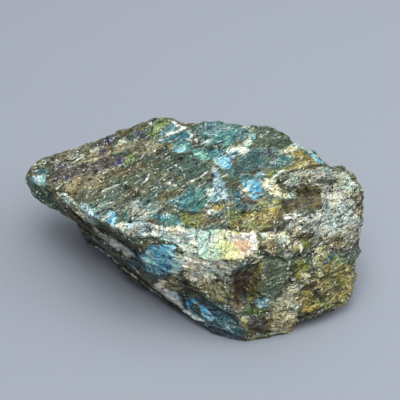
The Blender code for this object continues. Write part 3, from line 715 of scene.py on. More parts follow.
    "triangle_top": ("steel", (-9, -7), (-6.5, -6.5), (-4, -7.5), (-5, -9.5), (-7.5, -9.5)),
    "navy_body": ("navy", (-2.5, -11), (0, -9), (3, -8.5), (7, -10), (11.5, -13), (16, -15.5),
        (19, -18.5), (17, -24), (9, -22.5), (2.5, -18), (-2, -14)),
    "navy_grey": ("steel", (8, -14), (11, -13.5), (13.5, -16), (17, -19), (15.5, -21), (11.5, -19),
        (9, -17)),
    "navy_left": ("blue", (-2, -11.5), (0, -9.5), (2.5, -9.5), (2, -11.5), (0, -12), (-1, -13.5)),
    "navy_streak": ("blue_glint", (2, -11.5), (4.5, -12), (7, -14), (9, -16.5), (7, -17.5),
        (4, -15.5)),
    "navy_streak_2": ("pale_grey", (-2.5, -13), (-0.5, -13.5), (1.5, -15), (5, -17), (3, -17.5),
        (0, -15.5)),
    "brown_hollow": ("rust", (13.5, -2), (16.5, -0.5), (19.5, 0.5), (21, -1), (19.5, -4.5),
        (19, -7.5), (17.5, -10.5), (16.5, -13.5), (14, -12.5), (12.5, -9), (13.5, -5.5)),
    "glassy_rim": ("olive_gold", (18.5, -4.5), (20.5, -0.5), (22.5, 3), (23.5, 2.5), (23, -1.5),
        (22.5, -6.5), (20, -10), (18.5, -9.5)),
    "glassy_face": ("glassy", (23, 3), (25.5, 5.5), (33, 5.5), (35, 2.5), (34, -1.5), (31.5, -5.5),
        (28, -7), (25.5, -9), (22.5, -7), (22.5, -1.5)),
    "glassy_right": ("moss", (34.5, 4.5), (40, 4), (39.5, 0), (35.5, -3.5), (34, -1.5)),
    "front_white": ("cream", (29, 13), (32, 13), (33.5, 10), (33.5, 7), (31, 7), (29, 9)),
    "front_pink": ("cream", (23, 12.5), (26, 13), (29, 12.5), (28, 10), (25, 10)),
    "front_umber": ("tan", (23.5, 10), (27, 10), (29, 8), (29, 5.5), (26.5, 5), (24, 7)),
    "front_strip": ("cream_gold", (33.5, 14), (35.5, 14.5), (36.5, 10), (35.5, 6.5), (33.5, 8)),
    "front_grey": ("grey", (31, 18), (38, 19), (44, 19), (44, 12.5), (40.5, 11), (35, 12),
        (32, 13.5)),
    "front_light": ("slab", (40, 12.5), (44, 13), (45, 8), (41, 6.5)),
    "front_moss": ("moss", (35.5, 11.5), (40, 11), (40.5, 8.5), (37, 7.5)),
    "pale_spot": ("pale_grey", (21.5, -10), (24.5, -9), (27.5, -10.5), (26, -12.5), (22.5, -12)),
    "green_spot": ("green", (18.5, -13), (22.5, -12), (25.5, -13), (25.5, -15.5), (19, -15)),
    "foot_wedge": ("cream_gold", (15, -14.5), (17, -14), (18.5, -17), (20, -20), (17.5, -18.5)),
    "foot_brown": ("plum", (19.5, -15.5), (25.5, -15.5), (26, -19), (22, -20.5), (19, -18)),
    "foot_cream": ("cream_olive", (26.5, -11), (30, -8), (33.5, -6), (36, -8.5), (36, -16.5),
        (33, -21.5), (27.5, -21.5), (26, -16)),
    "mid_cream": ("cream", (32.5, -4.5), (37, -5), (36.5, -7.5), (32.5, -8.5)),
    "mid_white": ("cream", (37, -0.5), (40, -1.5), (39.5, -4), (37.5, -4)),
    "gold_foot": ("olive_gold", (36.5, -7), (42, -6.5), (43.5, -12), (41, -14.5), (36, -14.5),
        (35.5, -10)),
    "gold_glow": ("gold", (37, -7.5), (42, -7), (43.5, -11.5), (41.5, -13.5), (37.5, -13)),
    "right_olive": ("olive_gold", (41.5, 2.5), (47, 2.5), (54, 2), (56, -7), (53, -13),
        (43, -14.5), (43, -7)),
    "right_cream": ("cream_gold", (40.5, 8), (45, 6.5), (45.5, -0.5), (44.5, -7), (41.5, -6.5),
        (40.5, 1)),
    "right_green": ("green", (47, 4.5), (53, 5), (53.5, 2.5), (48.5, 2)),
    "right_grey": ("grey", (45, 28), (52.5, 28.5), (58.5, 24.5), (59.5, 17.5), (58.5, 10.5),
        (54.5, 5), (46.5, 5), (44, 11)),
    "right_mottle": ("dark", (44, 10), (48, 11.5), (52, 10.5), (54.5, 8), (54, 5), (47, 5),
        (44, 6.5)),
    "right_edge": ("plum", (54.5, 9.5), (57, 11), (59.5, 12), (59, 7.5), (57.5, 5.5), (55, 6)),
    # painted shade: the shadowed underside beneath the foot
    "underside": ("shale", (36, -15.5), (43, -14.5), (52.5, -13), (50, -16.5), (40.5, -19),
        (36.5, -18)),
}
PATCHES_SEEN_FROM = 38  # degrees above the front
PATCH_FADE = 3  # millimetres round a patch over which its distance is kept
TURNED_AWAY = (0.05, 8)  # how far skin may lean out of that view, and how fast patches end there

rise = np.radians(PATCHES_SEEN_FROM)
spots = np.stack([skin[:, 0], skin[:, 1] * np.sin(rise) + skin[:, 2] * np.cos(rise)], -1)
lean, fade = TURNED_AWAY
turned_away = fade * np.clip(-lean - facets @ (0, -np.cos(rise), np.sin(rise)), 0, 1)
nowhere = np.full(len(skin), -float(PATCH_FADE))
patch_depths = {}
for mineral, *outline in PATCHES.values():
    low, high = np.min(outline, 0) - PATCH_FADE, np.max(outline, 0) + PATCH_FADE
    close = np.flatnonzero(((spots > low) & (spots < high)).all(1))
    depth = nowhere.copy()
    depth[close] = depth_inside(outline, spots[close])
    depth = np.clip(depth - turned_away, -PATCH_FADE, PATCH_FADE)
    patch_depths[mineral] = np.maximum(patch_depths.get(mineral, nowhere), depth)

# Pale veins, and dark lines that are open cracks but for one painted shadow under the slab:
# each one's half width, then its points in the same view.
PALE_VEINS = (
    (0.35, (-7, 52.5), (-4.5, 50), (0, 48.5)),
    (0.22, (-11, 44.5), (-7.5, 47), (-3.5, 48.5)),
    (0.3, (-1, 48), (1.5, 45.5), (3, 43.5)),
    (0.22, (0.5, 29.5), (4, 31), (6, 32.5), (7.5, 34)),
    (0.18, (-10, 27.5), (-7, 29), (-3, 27.5), (-0.5, 29.5)),
    (0.1, (2, 43), (8, 44.5), (14, 44), (20, 46)),
    (0.16, (-6.5, 36), (-3, 34), (-1.5, 30.5)),
    (0.05, (5.5, 48.5), (12.5, 49.5), (18, 49)),
    (0.3, (28, 30.5), (30.5, 32.5), (32.5, 33.5)),
    (0.25, (31.5, 17), (35, 18), (38.5, 19)),
    (0.1, (18.5, 18), (20, 15), (20.5, 13)),
    (0.15, (-33.5, 6.5), (-30.5, 5), (-27.5, 3), (-24, 0.5), (-21.5, -2)),
    (0.2, (-2, -14), (1, -16), (5, -17.5)),
    (0.1, (-21.5, -2), (-17.5, -5), (-13, -8), (-9, -11)),
    (0.25, (17, 25.5), (19.5, 27), (20.5, 28.5)),
    (0.18, (-30, 26.5), (-25.5, 28.5), (-21.5, 29)),
    (0.18, (-18.5, 26.5), (-15, 30), (-14, 33.5)),
    (0.15, (-46.5, 33), (-41.5, 35.5), (-34, 38.5)),
    (0.2, (36.5, 9.5), (37, 6), (38, 2.5)),
    (0.2, (11, -19.5), (15.5, -19), (20, -20.5)),
    (0.25, (45, 26.5), (45.5, 22), (44, 18)),
    (0.18, (33, 3), (32.5, -1), (30, -4.5)),
)
DARK_LINES = (
    (0.4, (32, 32), (35.5, 33.5), (39, 34), (43.5, 35), (49, 35.5), (52.5, 35)),
    (0.7, (43.5, 29.5), (46.5, 29.5), (49.5, 29.5)),
    # painted shadow: this wide line under the slab's near corner is the slab's shadow
    (0.9, (30.5, 29), (31.5, 27.5), (33.5, 27)),
    (0.45, (36.5, 28), (38.5, 28.5), (42, 29)),
    (0.35, (23.5, 13), (28, 13.5), (31, 15.5), (33.5, 16.5), (37.5, 18), (41, 19.5)),
    (0.5, (17, 23), (19.5, 22), (22, 22)),
    (0.45, (-2.5, -8.5), (-2, -11), (-1, -13.5)),
    (0.5, (-30.5, 16), (-27.5, 12.5), (-23, 9), (-18.5, 6.5)),
    (0.3, (-14.5, 9.5), (-10.5, 9), (-5.5, 9), (-3, 7.5)),
    (0.15, (2.5, 13.5), (3, 9), (2.5, 4.5)),
    (0.2, (7, 13), (6.5, 9), (7, 4.5)),
    (0.15, (11, 13.5), (12, 10), (11.5, 5)),
    (0.35, (-19, 39), (-14, 38.5), (-10.5, 40.5), (-8, 41.5)),
    (0.3, (-1, 44), (1.5, 44.5), (3.5, 45)),
    (0.15, (4, 42), (10.5, 42.5), (17, 43.5), (21.5, 44.5)),
    (0.1, (5.5, 47), (12, 47), (18.5, 48)),
    (0.3, (-8, 21.5), (-4, 20), (0, 19), (5, 19)),
    (0.35, (13, 28), (15.5, 27.5), (17, 26)),
    (0.35, (-14, 38), (-17.5, 37.5), (-22, 34.5)),
    (0.3, (22, 11.5), (23, 7.5), (21.5, 4.5)),
    (0.4, (13.5, -1.5), (16, 0), (19.5, 1)),
    (0.15, (40.5, 10), (40.5, 4.5), (41.5, -1)),
    (0.3, (52.5, 4), (54.5, 6), (55.5, 10)),
    (0.4, (36.5, -12), (39, -10.5), (42.5, -9), (42.5, -6.5)),
    (0.15, (56.5, 26.5), (57, 21.5), (56, 15.5)),
    (0.5, (9, -12), (12, -14), (16, -17)),
)


def depth_on(lines):
    """Millimetres inside these lines: a line's half width, less the distance from its middle."""
    depth = nowhere
    for width, *points in lines:
        points = np.array(points, float)
        for start, end in zip(points, points[1:]):
            depth = np.maximum(depth, width - gap_to(start, end, spots))
    return depth - turned_away


patch_depths["vein"] = depth_on(PALE_VEINS)
patch_depths["dark_lines"] = depth_on(DARK_LINES)

# --- Its mesh -----------------------------------------------------------------------------
# Chips and crushed grain too small for the solid's outline are pushed out of the skin.

MM = 0.001  # in the scene's metres
CLEAVAGE_RUNS = 38  # compass direction of the cleavage that crosses the top
UNDERCUT_FACES = (-128, -20)  # compass direction and elevation that the undercut side faces
UNDERCUT_EDGE = (3, 1.4)  # how sharply that side begins, and how squarely skin has to face it
CHIPS = (8, 2.1, 1.5)  # length, width and thickness of a chip
CHIP_EDGE = 0.34  # how far a chip's edge stands out
CHIP_CRISPNESS = 14  # higher makes the steps between chips steeper
CRUMBS = (1.9, 0.22)  # size and height of the crumbs on crushed feldspar
WHOLE_CRUMBS = 0.35  # share of them that is left on whole rock
CRUMBLY = ("cream", "milky", "grey", "cream_gold", "pale", "dark", "shale")
SMOOTH = ("blue", "deep_blue", "cyan", "rainbow", "glassy", "teal", "deep_teal")
SMOOTHED = (0.6, 0.7)  # shares of the chips and of the crumbs that smooth facets lack
EDGE_HEIGHT = 0.024  # how far out an edge stands to get crushed paleness and painted highlight


def share_of(minerals):
    """How far each point belongs to any of these minerals, 0 to 1 over a millimetre."""
    return np.clip(0.5 + np.max([patch_depths[mineral] for mineral in minerals], axis=0), 0, 1)


def along(points, compass):
    """Points in axes turned about the upright, so that the first runs that way."""
    turn = np.radians(compass)
    axes = [(np.cos(turn), np.sin(turn), 0), (-np.sin(turn), np.cos(turn), 0), (0, 0, 1)]
    return points @ np.array(axes).T


crispness, threshold = UNDERCUT_EDGE
undercut = np.clip(crispness * facets @ facing(*UNDERCUT_FACES) - threshold, 0, 1)
on_top = flat_chips(along(skin, CLEAVAGE_RUNS) / CHIPS, SEEDS["top_chips"], CHIP_CRISPNESS)
on_side = flat_chips(along(skin, BEDDING_RUNS) / CHIPS, SEEDS["side_chips"], CHIP_CRISPNESS)
smooth = share_of(SMOOTH)
fewer_chips, fewer_crumbs = (1 - share * smooth for share in SMOOTHED)
crumb, height = CRUMBS
crumbs = height * noise(skin / crumb, SEEDS["crumbs"]) * (WHOLE_CRUMBS + share_of(CRUMBLY))
raised = CHIP_EDGE * (on_top + undercut * (on_side - on_top)) * fewer_chips
raised += crumbs * fewer_crumbs
# nothing is pushed out on the sole or within half a millimetre of the ground
raised *= np.clip(skin[:, 2] / 0.5, 0, 1) * np.clip(facets[:, 2] * 8 + 8, 0, 1)
skin += raised[:, None] * facets
low, high = np.array(cad_box) / MM
skin = np.clip(skin, low, high)

# how far each point stands out of the skin round it: edges are painted paler, partly as crushed
# rock and partly as painted highlight, and hollows darker as painted shade
stands_out = ((skin - worn(skin, quads, 1)) * facets).sum(1)
patch_depths["edge"] = np.clip(stands_out / EDGE_HEIGHT, -1, 1)
patch_depths["undercut"] = undercut

mesh = bpy.data.meshes.new("labradorite_skin")
mesh.from_pydata((skin * MM).tolist(), [], quads.tolist())
for mineral, depth in patch_depths.items():
    layer = mesh.attributes.new(mineral, "FLOAT", "POINT")
    layer.data.foreach_set("value", depth.astype(np.float32))
mesh.polygons.foreach_set("use_smooth", np.zeros(len(quads), bool))
stone = bpy.data.objects.new("labradorite_skin", mesh)
bpy.context.scene.collection.objects.link(stone)

# --- Its material -------------------------------------------------------------------------
# Each rock and mineral has the colours of its darkest and its palest grains, in steps of 0 to
# 255. A tone says how pale each grain is; cracks, seams and painted sparkles lie over them.

GROUNDS = (  # grey green, olive brown, slate and crushed grey
    ((24, 30, 16), (108, 120, 96)),
    ((28, 22, 8), (124, 114, 82)),
    ((14, 30, 30), (100, 134, 126)),
    ((50, 50, 38), (206, 206, 186)),
)
MINERALS = {  # in the order that they are laid over each other
    "brown": ((20, 15, 5), (125, 120, 80)),
    "olive": ((15, 25, 10), (75, 100, 75)),
    "moss": ((45, 45, 15), (135, 140, 65)),
    "glassy": ((60, 70, 55), (115, 130, 105)),
    "grey": ((10, 10, 10), (190, 195, 185)),
    "dull_grey": ((30, 40, 30), (195, 205, 195)),
    "slab": ((5, 5, 5), (200, 205, 190)),
    "olive_gold": ((45, 40, 20), (170, 160, 100)),
    "green": ((15, 30, 10), (140, 160, 100)),
    "deep_teal": ((5, 5, 5), (60, 110, 110)),
    "teal": ((15, 65, 75), (95, 155, 155)),
    "dark": ((5, 5, 5), (125, 120, 90)),
    # painted shade: near black, partly dark rock and partly shade on the undercut side and hollows
    "shale": ((5, 5, 5), (65, 60, 35)),
    "plum": ((5, 5, 5), (105, 100, 90)),
    "navy": ((5, 5, 5), (100, 125, 135)),
    "steel": ((20, 40, 50), (125, 170, 180)),
    "umber": ((5, 5, 5), (125, 120, 85)),
    "rust": ((15, 10, 10), (150, 130, 110)),
    "beige": ((170, 160, 120), (255, 250, 240)),
    # painted highlight: pure white, partly pale rock and partly a glint painted on it in shade
    "strip": ((250, 250, 250), (255, 255, 255)),
    "pale_grey": ((110, 165, 175), (225, 240, 245)),
    "cream": ((60, 60, 30), (235, 240, 220)),
    "milky": ((190, 210, 190), (250, 250, 250)),
    "pale": ((55, 100, 130), (190, 225, 245)),
    "lilac": ((75, 100, 110), (195, 215, 225)),
    "tan": ((5, 5, 5), (170, 160, 125)),
    "gold": ((5, 5, 5), (195, 185, 115)),
    "cream_gold": ((45, 35, 20), (170, 165, 115)),
    "cream_olive": ((65, 60, 35), (230, 225, 190)),
    "orange": ((190, 145, 100), (255, 250, 225)),
    "mint": ((20, 110, 75), (190, 245, 240)),
    "blue": ((30, 90, 145), (130, 205, 230)),
    "deep_blue": ((5, 35, 45), (40, 115, 130)),
    "cell_blue": ((50, 120, 180), (165, 225, 245)),
    "cell_mint": ((170, 250, 250), (255, 255, 255)),
    "deep": ((5, 5, 5), (55, 95, 80)),
    "violet": ((5, 5, 5), (70, 65, 115)),
    "blue_glint": ((105, 195, 250), (220, 250, 255)),
    "cyan": ((55, 140, 185), (200, 240, 245)),
}
CELLS = ("cell_blue", "cell_mint")  # flashing minerals that are split into cells
FLASHES = {  # brighter spots of painted sheen on the brow's flash
    "frost": ((195, 185, 160), (255, 255, 250)),
    "sunny": ((200, 200, 130), (245, 245, 185)),
    "ember": ((185, 145, 110), (240, 210, 175)),
}
RAINBOW = {  # the brow's painted flash, from its mint end to its rose end
    0.0: (214, 240, 232),
    0.26: (206, 243, 226),
    0.4: (224, 246, 200),
    0.52: (240, 248, 185),
    0.64: (250, 236, 165),
    0.78: (248, 212, 176),
    1.0: (246, 236, 220),
}
STAINS = {0.36: (198, 228, 236), 0.5: (228, 230, 222), 0.64: (242, 230, 198)}  # cool to warm
MARKS = {
    "cell_seam": (24, 34, 34),
    "facet_edge_highlight": (200, 226, 222),
    "block_sheen": (255, 255, 246),
    "block_shade": (128, 132, 90),
    "block_crack": (84, 102, 70),
    "dark_line": (22, 22, 16),
    "vein": (232, 236, 226),
    "white_seam": (232, 236, 224),
    "dark_seam": (20, 20, 15),
    "white_edge": (226, 232, 220),
    "plate_crack": (18, 18, 13),
    "powder": (224, 226, 212),
    "glint": (250, 250, 244),
    "pit": (16, 16, 12),
}
CLEAN_EDGED = (
    "strip", "cream", "milky", "rainbow", "glassy", "pale_grey", "cyan", "lilac", "blue",
    "blue_glint",
)
CRUSHED = ("cream", "milky", "grey", "cream_gold", "pale", "beige")  # white and grainy
DARK = ("shale", "navy", "rust", "umber", "deep", "deep_teal", "moss")
GLASSY = (  # and fibrous
    "blue", "deep_blue", "cyan", "teal", "deep_teal", "mint", "green", "glassy", "navy",
    "cell_blue", "steel", "olive_gold", "moss", "umber",
)
FACETS = ("blue", "deep_blue", "teal", "deep_teal", "cyan")

# Length, width and thickness of each kind of grain, in millimetres along the cleavage.
CHIP_SIZES = {
    "large": (8.5, 2.3, 2.3),
    "small": (3.2, 0.95, 0.95),
    "speck": (0.85, 0.48, 0.48),
    "grit": (0.5, 0.34, 0.34),
}
CHIP_TILTS = {"large": 0.3, "small": 0.5, "speck": 0.6, "grit": 0.8}
STREAKS = {  # each with its octaves and their roughness
    "streak": ((7, 0.8, 0.8), 2, 0.65),
    "thread": ((2.8, 0.36, 0.36), 2, 0.7),
    "bruise": ((11, 2.6, 2.6), 3, 0.65),
    "ground": ((24, 13, 13), 1, 0.5),
    "white_spot": ((8, 2, 2), 3, 0.7),
    "seam": ((15, 0.9, 0.9), 2, 0.6),
}
CELL = (3.4, 2.0, 2.0)
BLOCK, BLOCK_TURN = (3.1, 3.1, 3.0), (0.1, 0.15, 0.1)  # of the cracks across the brow's flash
FINE, COARSE = 0.42, 3.2  # pitch of grains that have no direction
BENDS = (4, 2.6, 1.2)  # pitch and reach of the bends in the grain, and reach of those in blocks
ON_TOP, ON_KEEL = (0, 0, 38), (0, 15, -39)  # degrees that the grain is turned by
TONES = {  # how much each texture counts in plain, crushed and glassy rock
    "plain": {
        "speck": 0.24, "small": 0.14, "large": 0.14, "thread": 0.16, "streak": 0.08,
        "fine": 0.12, "coarse": 0.12,
    },
    "crushed": {
        "speck": 0.20, "small": 0.14, "large": 0.14, "streak": 0.12, "fine": 0.22,
        "coarse": 0.26,
    },
    "glassy": {
        "speck": 0.12, "small": 0.12, "large": 0.16, "thread": 0.34, "fine": 0.12,
        "coarse": 0.20,
    },
}
CONTRASTS = (0.46, 0.52, 1.05)  # of calm rock, calm glassy rock and bruised rock
TONE_SPREAD = 2.5  # how much further apart the tones are than their textures make them
BRUISES, WHITE_SPOTS = (0.50, 0.62), (0.58, 0.66)  # where their noises begin and are full
WHITE_SEAMS, DARK_SEAMS = (0.62, 0.68), (0.38, 0.32)
PATCH_EDGE = 0.35  # half width in millimetres over which a patch begins
NEATNESS = 0.45  # raggedness of clean edges, of that of the others
POLISH = (0.22, 0.6)  # roughness of the glassiest and the dullest grains
BUMP = (0.8, 0.4)  # strength, and height in millimetres
RICHNESS = 1.12  # saturation of all the colours
MIX_SOCKETS = {"FLOAT": (2, 3, 0), "VECTOR": (4, 5, 1), "RGBA": (6, 7, 2)}  # A, B and result


def linear(colour):
    """A colour of 0 to 255 steps as the light it stands for, with its alpha."""
    share = np.array(colour) / 255
    light = np.where(share > 0.04045, ((share + 0.055) / 1.055) ** 2.4, share / 12.92)
    return (*(float(part) for part in light), 1.0)


material = bpy.data.materials.new("labradorite")
material.use_nodes = True
tree = material.node_tree


def wire(entry, value):
    """A node's input filled: a socket is linked to it, and a plain value is set."""
    if isinstance(value, bpy.types.NodeSocket):
        tree.links.new(value, entry)
    elif value is not None:
        entry.default_value = value


def node(kind, *values, **settings):
    """A shader node with its settings, and its inputs filled in order."""
    made = tree.nodes.new(kind)
    for name, setting in settings.items():
        setattr(made, name, setting)
    for entry, value in zip(made.inputs, values):
        wire(entry, value)
    return made


def number(operation, *values):
    """A Math node's answer."""
    return node("ShaderNodeMath", *values, operation=operation).outputs[0]


def plus(*values):
    """The sum of two values."""
    return number("ADD", *values)


def times(*values):
    """The product of two values."""
    return number("MULTIPLY", *values)


def most(values):
    """The largest of the values."""
    return reduce(partial(number, "MAXIMUM"), values)


def less(share):
    """What a share leaves of the whole: 1 less it."""
    return number("SUBTRACT", 1.0, share)


def vector(operation, *values):
    """A Vector Math node's vector."""
    return node("ShaderNodeVectorMath", *values, operation=operation).outputs[0]


def step(value, start, end, low=0.0, high=1.0):
    """A value carried from start..end to low..high, and held there beyond."""
    return node("ShaderNodeMapRange", value, start, end, low, high).outputs[0]


def blend(shares):
    """The sum of values, each times its own share."""
    return reduce(plus, [times(value, share) for value, share in shares])


def swing(*shares):
    """The sum of how far values of 0 to 1 are from their middle, each times its own share."""
    return blend([(plus(value, -0.5), share) for value, share in shares])


def mixed(below, above, share, kind="FLOAT", how="MIX"):
    """One number, vector or colour turning into another by a share."""
    first, second, result = MIX_SOCKETS[kind]
    made = node("ShaderNodeMix", share, data_type=kind, blend_type=how)
    wire(made.inputs[first], below)
    wire(made.inputs[second], above)
    return made.outputs[result]


def laid_over(below, above, share, how="MIX"):
    """One colour over another by a share."""
    return mixed(below, above, share, "RGBA", how)


def marked(below, mark, share):
    """A colour with a mark on it by a share."""
    return laid_over(below, linear(MARKS[mark]), share)


def ramp(stops, share):
    """The colour at a share of the way along these stops."""
    made = node("ShaderNodeValToRGB", share)
    elements = made.color_ramp.elements
    while len(elements) < len(stops):
        elements.new(0.5)
    for element, (position, colour) in zip(elements, stops.items()):
        element.position, element.color = position, linear(colour)
    return made.outputs[0]


def clouds(place, pitch, octaves, rough):
    """Noise whose lumps are this far apart in the place's own units: its value and its colour."""
    return node("ShaderNodeTexNoise", place, None, 1 / pitch, octaves, rough).outputs


def mapped(place, size, turn=(0, 0, 0)):
    """Coordinates turned, then measured in these sizes."""
    return node("ShaderNodeMapping", place, None, turn, size, vector_type="TEXTURE").outputs[0]


def cells(place):
    """A grid's ragged cells: each one's random shade, hue and way."""
    colour = node("ShaderNodeTexVoronoi", place, None, 1, feature="F1").outputs["Color"]
    return *node("ShaderNodeSeparateColor", colour).outputs[:2], colour


def gaps(place):
    """The distance to the nearest edge of the same cells."""
    made = node("ShaderNodeTexVoronoi", place, None, 1, feature="DISTANCE_TO_EDGE")
    return made.outputs["Distance"]


def depth_of(mineral):
    """Millimetres inside a mineral's patches, as the mesh keeps it."""
    return node("ShaderNodeAttribute", attribute_name=mineral).outputs["Fac"]


def in_any(minerals):
    """How far the skin belongs to any of these minerals, 0 to 1 over a millimetre."""
    return step(most([depth_of(mineral) for mineral in minerals]), -0.5, 0.5)


# the grain follows the cleavage on top and the layers along the keel, and bends a little
in_mm = mapped(node("ShaderNodeTexCoord").outputs["Object"], (MM, MM, MM))
pitch, reach, block_reach = BENDS
wandering = vector("SUBTRACT", clouds(in_mm, pitch, 3, 0.5)["Color"], (0.5, 0.5, 0.5))
bent = vector("ADD", in_mm, vector("SCALE", wandering, None, None, reach))
aligned = mixed(
    *(mapped(bent, (1, 1, 1), np.radians(turn)) for turn in (ON_TOP, ON_KEEL)),
    step(depth_of("undercut"), 0.4, 0.6),
    "VECTOR",
)
chips = {name: mapped(aligned, size) for name, size in CHIP_SIZES.items()}
shade, hue, way = (
    dict(zip(chips, parts)) for parts in zip(*(cells(place) for place in chips.values()))
)
large_gap, small_gap = gaps(chips["large"]), gaps(chips["small"])
streaks = {
    name: clouds(mapped(aligned, size), 1, *grain)[0] for name, (size, *grain) in STREAKS.items()
}
fine, coarse = clouds(in_mm, FINE, 1, 0.6)[0], clouds(in_mm, COARSE, 2, 0.6)[0]
streaked = step(streaks["streak"], 0.34, 0.66)

# the tone: how pale each grain is within its mineral's range
textures = {
    "large": shade["large"],
    "small": shade["small"],
    "speck": shade["speck"],
    "thread": step(streaks["thread"], 0.36, 0.64),
    "streak": streaked,
    "fine": step(fine, 0.34, 0.66),
    "coarse": step(coarse, 0.34, 0.66),
}
plain_tone, crushed_tone, glassy_tone = (
    blend([(textures[name], share) for name, share in shares.items()]) for shares in TONES.values()
)
crushed, glassy = in_any(CRUSHED), in_any(GLASSY)
tone = mixed(mixed(plain_tone, glassy_tone, glassy), crushed_tone, crushed)
# the rock is bruised in streaks, where the contrast is strong, and calmer between them
bruised = step(plus(streaks["bruise"], times(crushed, 0.12)), *BRUISES)
calm, calm_glassy, strong = CONTRASTS
contrast = mixed(mixed(calm, calm_glassy, glassy), strong, bruised)
tone = plus(times(plus(tone, -0.53), times(contrast, TONE_SPREAD)), 0.46)
tone = plus(tone, swing((shade["grit"], 0.65)))
# painted highlight on edges that stand out, partly crushed pale rock, and painted shade in hollows
edge_light_and_hollow_shade = depth_of("edge")
edge_light_and_hollow_shade = blend(((step(edge_light_and_hollow_shade, 0, 1), 0.28), (step(edge_light_and_hollow_shade, 0, -1), -0.1)))
tone = step(plus(plus(tone, times(bruised, 0.08)), edge_light_and_hollow_shade), 0.0, 1.0)

# patches' edges are broken by the chips and the grain
ragged = swing(
    (shade["large"], 1.4), (hue["small"], 1.0), (hue["speck"], 0.5), (streaks["streak"], 2.0)
)
neat = times(ragged, NEATNESS)


def patch(mineral):
    """The share of a mineral: its patches' depth, with their edges made ragged."""
    edge = neat if mineral in CLEAN_EDGED else ragged
    return step(plus(depth_of(mineral), edge), -PATCH_EDGE, PATCH_EDGE)


def toned(dark, pale, by=tone):
    """The colour between a mineral's darkest and palest grains at the tone."""
    return laid_over(linear(dark), linear(pale), by)


# the groundmass is four rocks that run into each other
lumps = plus(streaks["ground"], swing((streaks["streak"], 0.16), (hue["large"], 0.04)))
colour = toned(*GROUNDS[0])
for ground, level in zip(GROUNDS[1:3], ((0.50, 0.62), (0.46, 0.34))):
    colour = laid_over(colour, toned(*ground), step(lumps, *level))
white_spots = plus(streaks["white_spot"], swing((bruised, 0.06)))
colour = laid_over(colour, toned(*GROUNDS[3]), step(white_spots, *WHITE_SPOTS))

# the minerals lie on it, and each cell of the flashing ones has more or less painted sheen
cell_place = mapped(aligned, CELL)
cell_tone = step(blend(((cells(cell_place)[0], 0.5), (tone, 0.6))), 0.0, 0.65)
cell_seam = times(step(gaps(cell_place), 0.10, 0.02), 0.45)
for mineral, grains in MINERALS.items():
    if mineral in CELLS:
        look = marked(toned(*grains, cell_tone), "cell_seam", cell_seam)
    else:
        look = toned(*grains)
    colour = laid_over(colour, look, patch(mineral))

# glassy facets end in a painted highlight along their broken edge
bands = []
for mineral in FACETS:
    depth = plus(depth_of(mineral), times(ragged, 0.6))
    bands.append(times(step(depth, -0.25, 0.0), step(depth, 0.45, 0.15)))
facet_edge_highlight = times(most(bands), step(plus(coarse, times(hue["small"], 0.3)), 0.60, 0.74))
colour = marked(colour, "facet_edge_highlight", times(facet_edge_highlight, 0.2))

# warm and cool stains run through everything
stain = ramp(STAINS, clouds(bent, 5.5, 3, 0.6)[0])
colour = laid_over(colour, stain, 0.85, "MULTIPLY")

# the brow's painted flash is cracked into small blocks and runs from mint to rose along the stone
block_bend = vector("SCALE", wandering, None, None, block_reach)
block_place = mapped(vector("ADD", in_mm, block_bend), BLOCK, BLOCK_TURN)
block_shade, block_hue, _ = cells(block_place)
along_stone = node("ShaderNodeSeparateXYZ", in_mm).outputs["X"]
flash = ramp(RAINBOW, step(plus(along_stone, swing((block_hue, 4))), -1, 22))
# painted sheen: some blocks are laid whiter as a brighter flash
flash = marked(flash, "block_sheen", step(block_shade, 0.45, 1.0, 0.0, 0.6))
flash = laid_over(linear(MARKS["block_shade"]), flash, step(tone, 0.0, 0.3, 0.4, 1.0))
flash = marked(flash, "block_crack", times(step(gaps(block_place), 0.06, 0.02), 0.6))
colour = laid_over(colour, flash, patch("rainbow"))
for name, grains in FLASHES.items():
    colour = laid_over(colour, toned(*grains), patch(name))

# dark lines are open cracks and one painted shadow under the slab, and veins are pale
on_line = times(ragged, 0.35)
dark_line, vein = (step(plus(depth_of(name), on_line), -0.15, 0.2) for name in ("dark_lines", "vein"))
dark_line_share = times(dark_line, step(hue["speck"], 0.0, 0.4, 0.6, 0.9))
colour = marked(colour, "dark_line", dark_line_share)
colour = marked(colour, "vein", times(vein, step(tone, 0.1, 0.7, 0.3, 0.9)))

# crushed white seams and dark open seams follow the cleavage, but dark minerals are seldom
# crushed white, and the brow's flash has few pits and cracks
clear = less(times(in_any(DARK), 0.75))
whole = less(times(in_any(("rainbow",)), 0.85))
white_seam = times(step(streaks["seam"], *WHITE_SEAMS), times(step(coarse, 0.45, 0.62), clear))
white_seam = times(white_seam, step(bruised, 0, 1, 0.35, 0.7))
dark_seam = times(step(streaks["seam"], *DARK_SEAMS), times(step(coarse, 0.62, 0.45), whole))
colour = marked(colour, "white_seam", white_seam)
colour = marked(colour, "dark_seam", times(dark_seam, 0.7))

# cracks between the plates are dark, and crushed white where the rock is bruised
edges = step(large_gap, 0.05, 0.015)
white_edge = times(times(edges, clear), times(bruised, step(hue["small"], 0.3, 0.7)))
colour = marked(colour, "white_edge", times(white_edge, 0.75))
plate_crack = most((times(edges, 0.8), step(small_gap, 0.05, 0.0, 0.0, 0.5)))
plate_crack = times(times(plate_crack, whole), times(step(coarse, 0.58, 0.42), less(bruised)))
colour = marked(colour, "plate_crack", plate_crack)
powder = times(step(hue["speck"], 0.80, 0.90), step(tone, 0.5, 0.9, 0.0, 0.5))
colour = marked(colour, "powder", times(powder, times(bruised, clear)))
# painted glints: the rarest grit grains are painted near white as sparkles of light
rarity = mixed(mixed(0.985, 0.95, bruised), 0.93, crushed)
glint = number("GREATER_THAN", shade["grit"], rarity)
colour = marked(colour, "glint", times(glint, times(clear, 0.6)))
pit = number("LESS_THAN", shade["speck"], step(crushed, 0, 1, 0.06, 0.09))
colour = marked(colour, "pit", times(pit, times(whole, 0.7)))

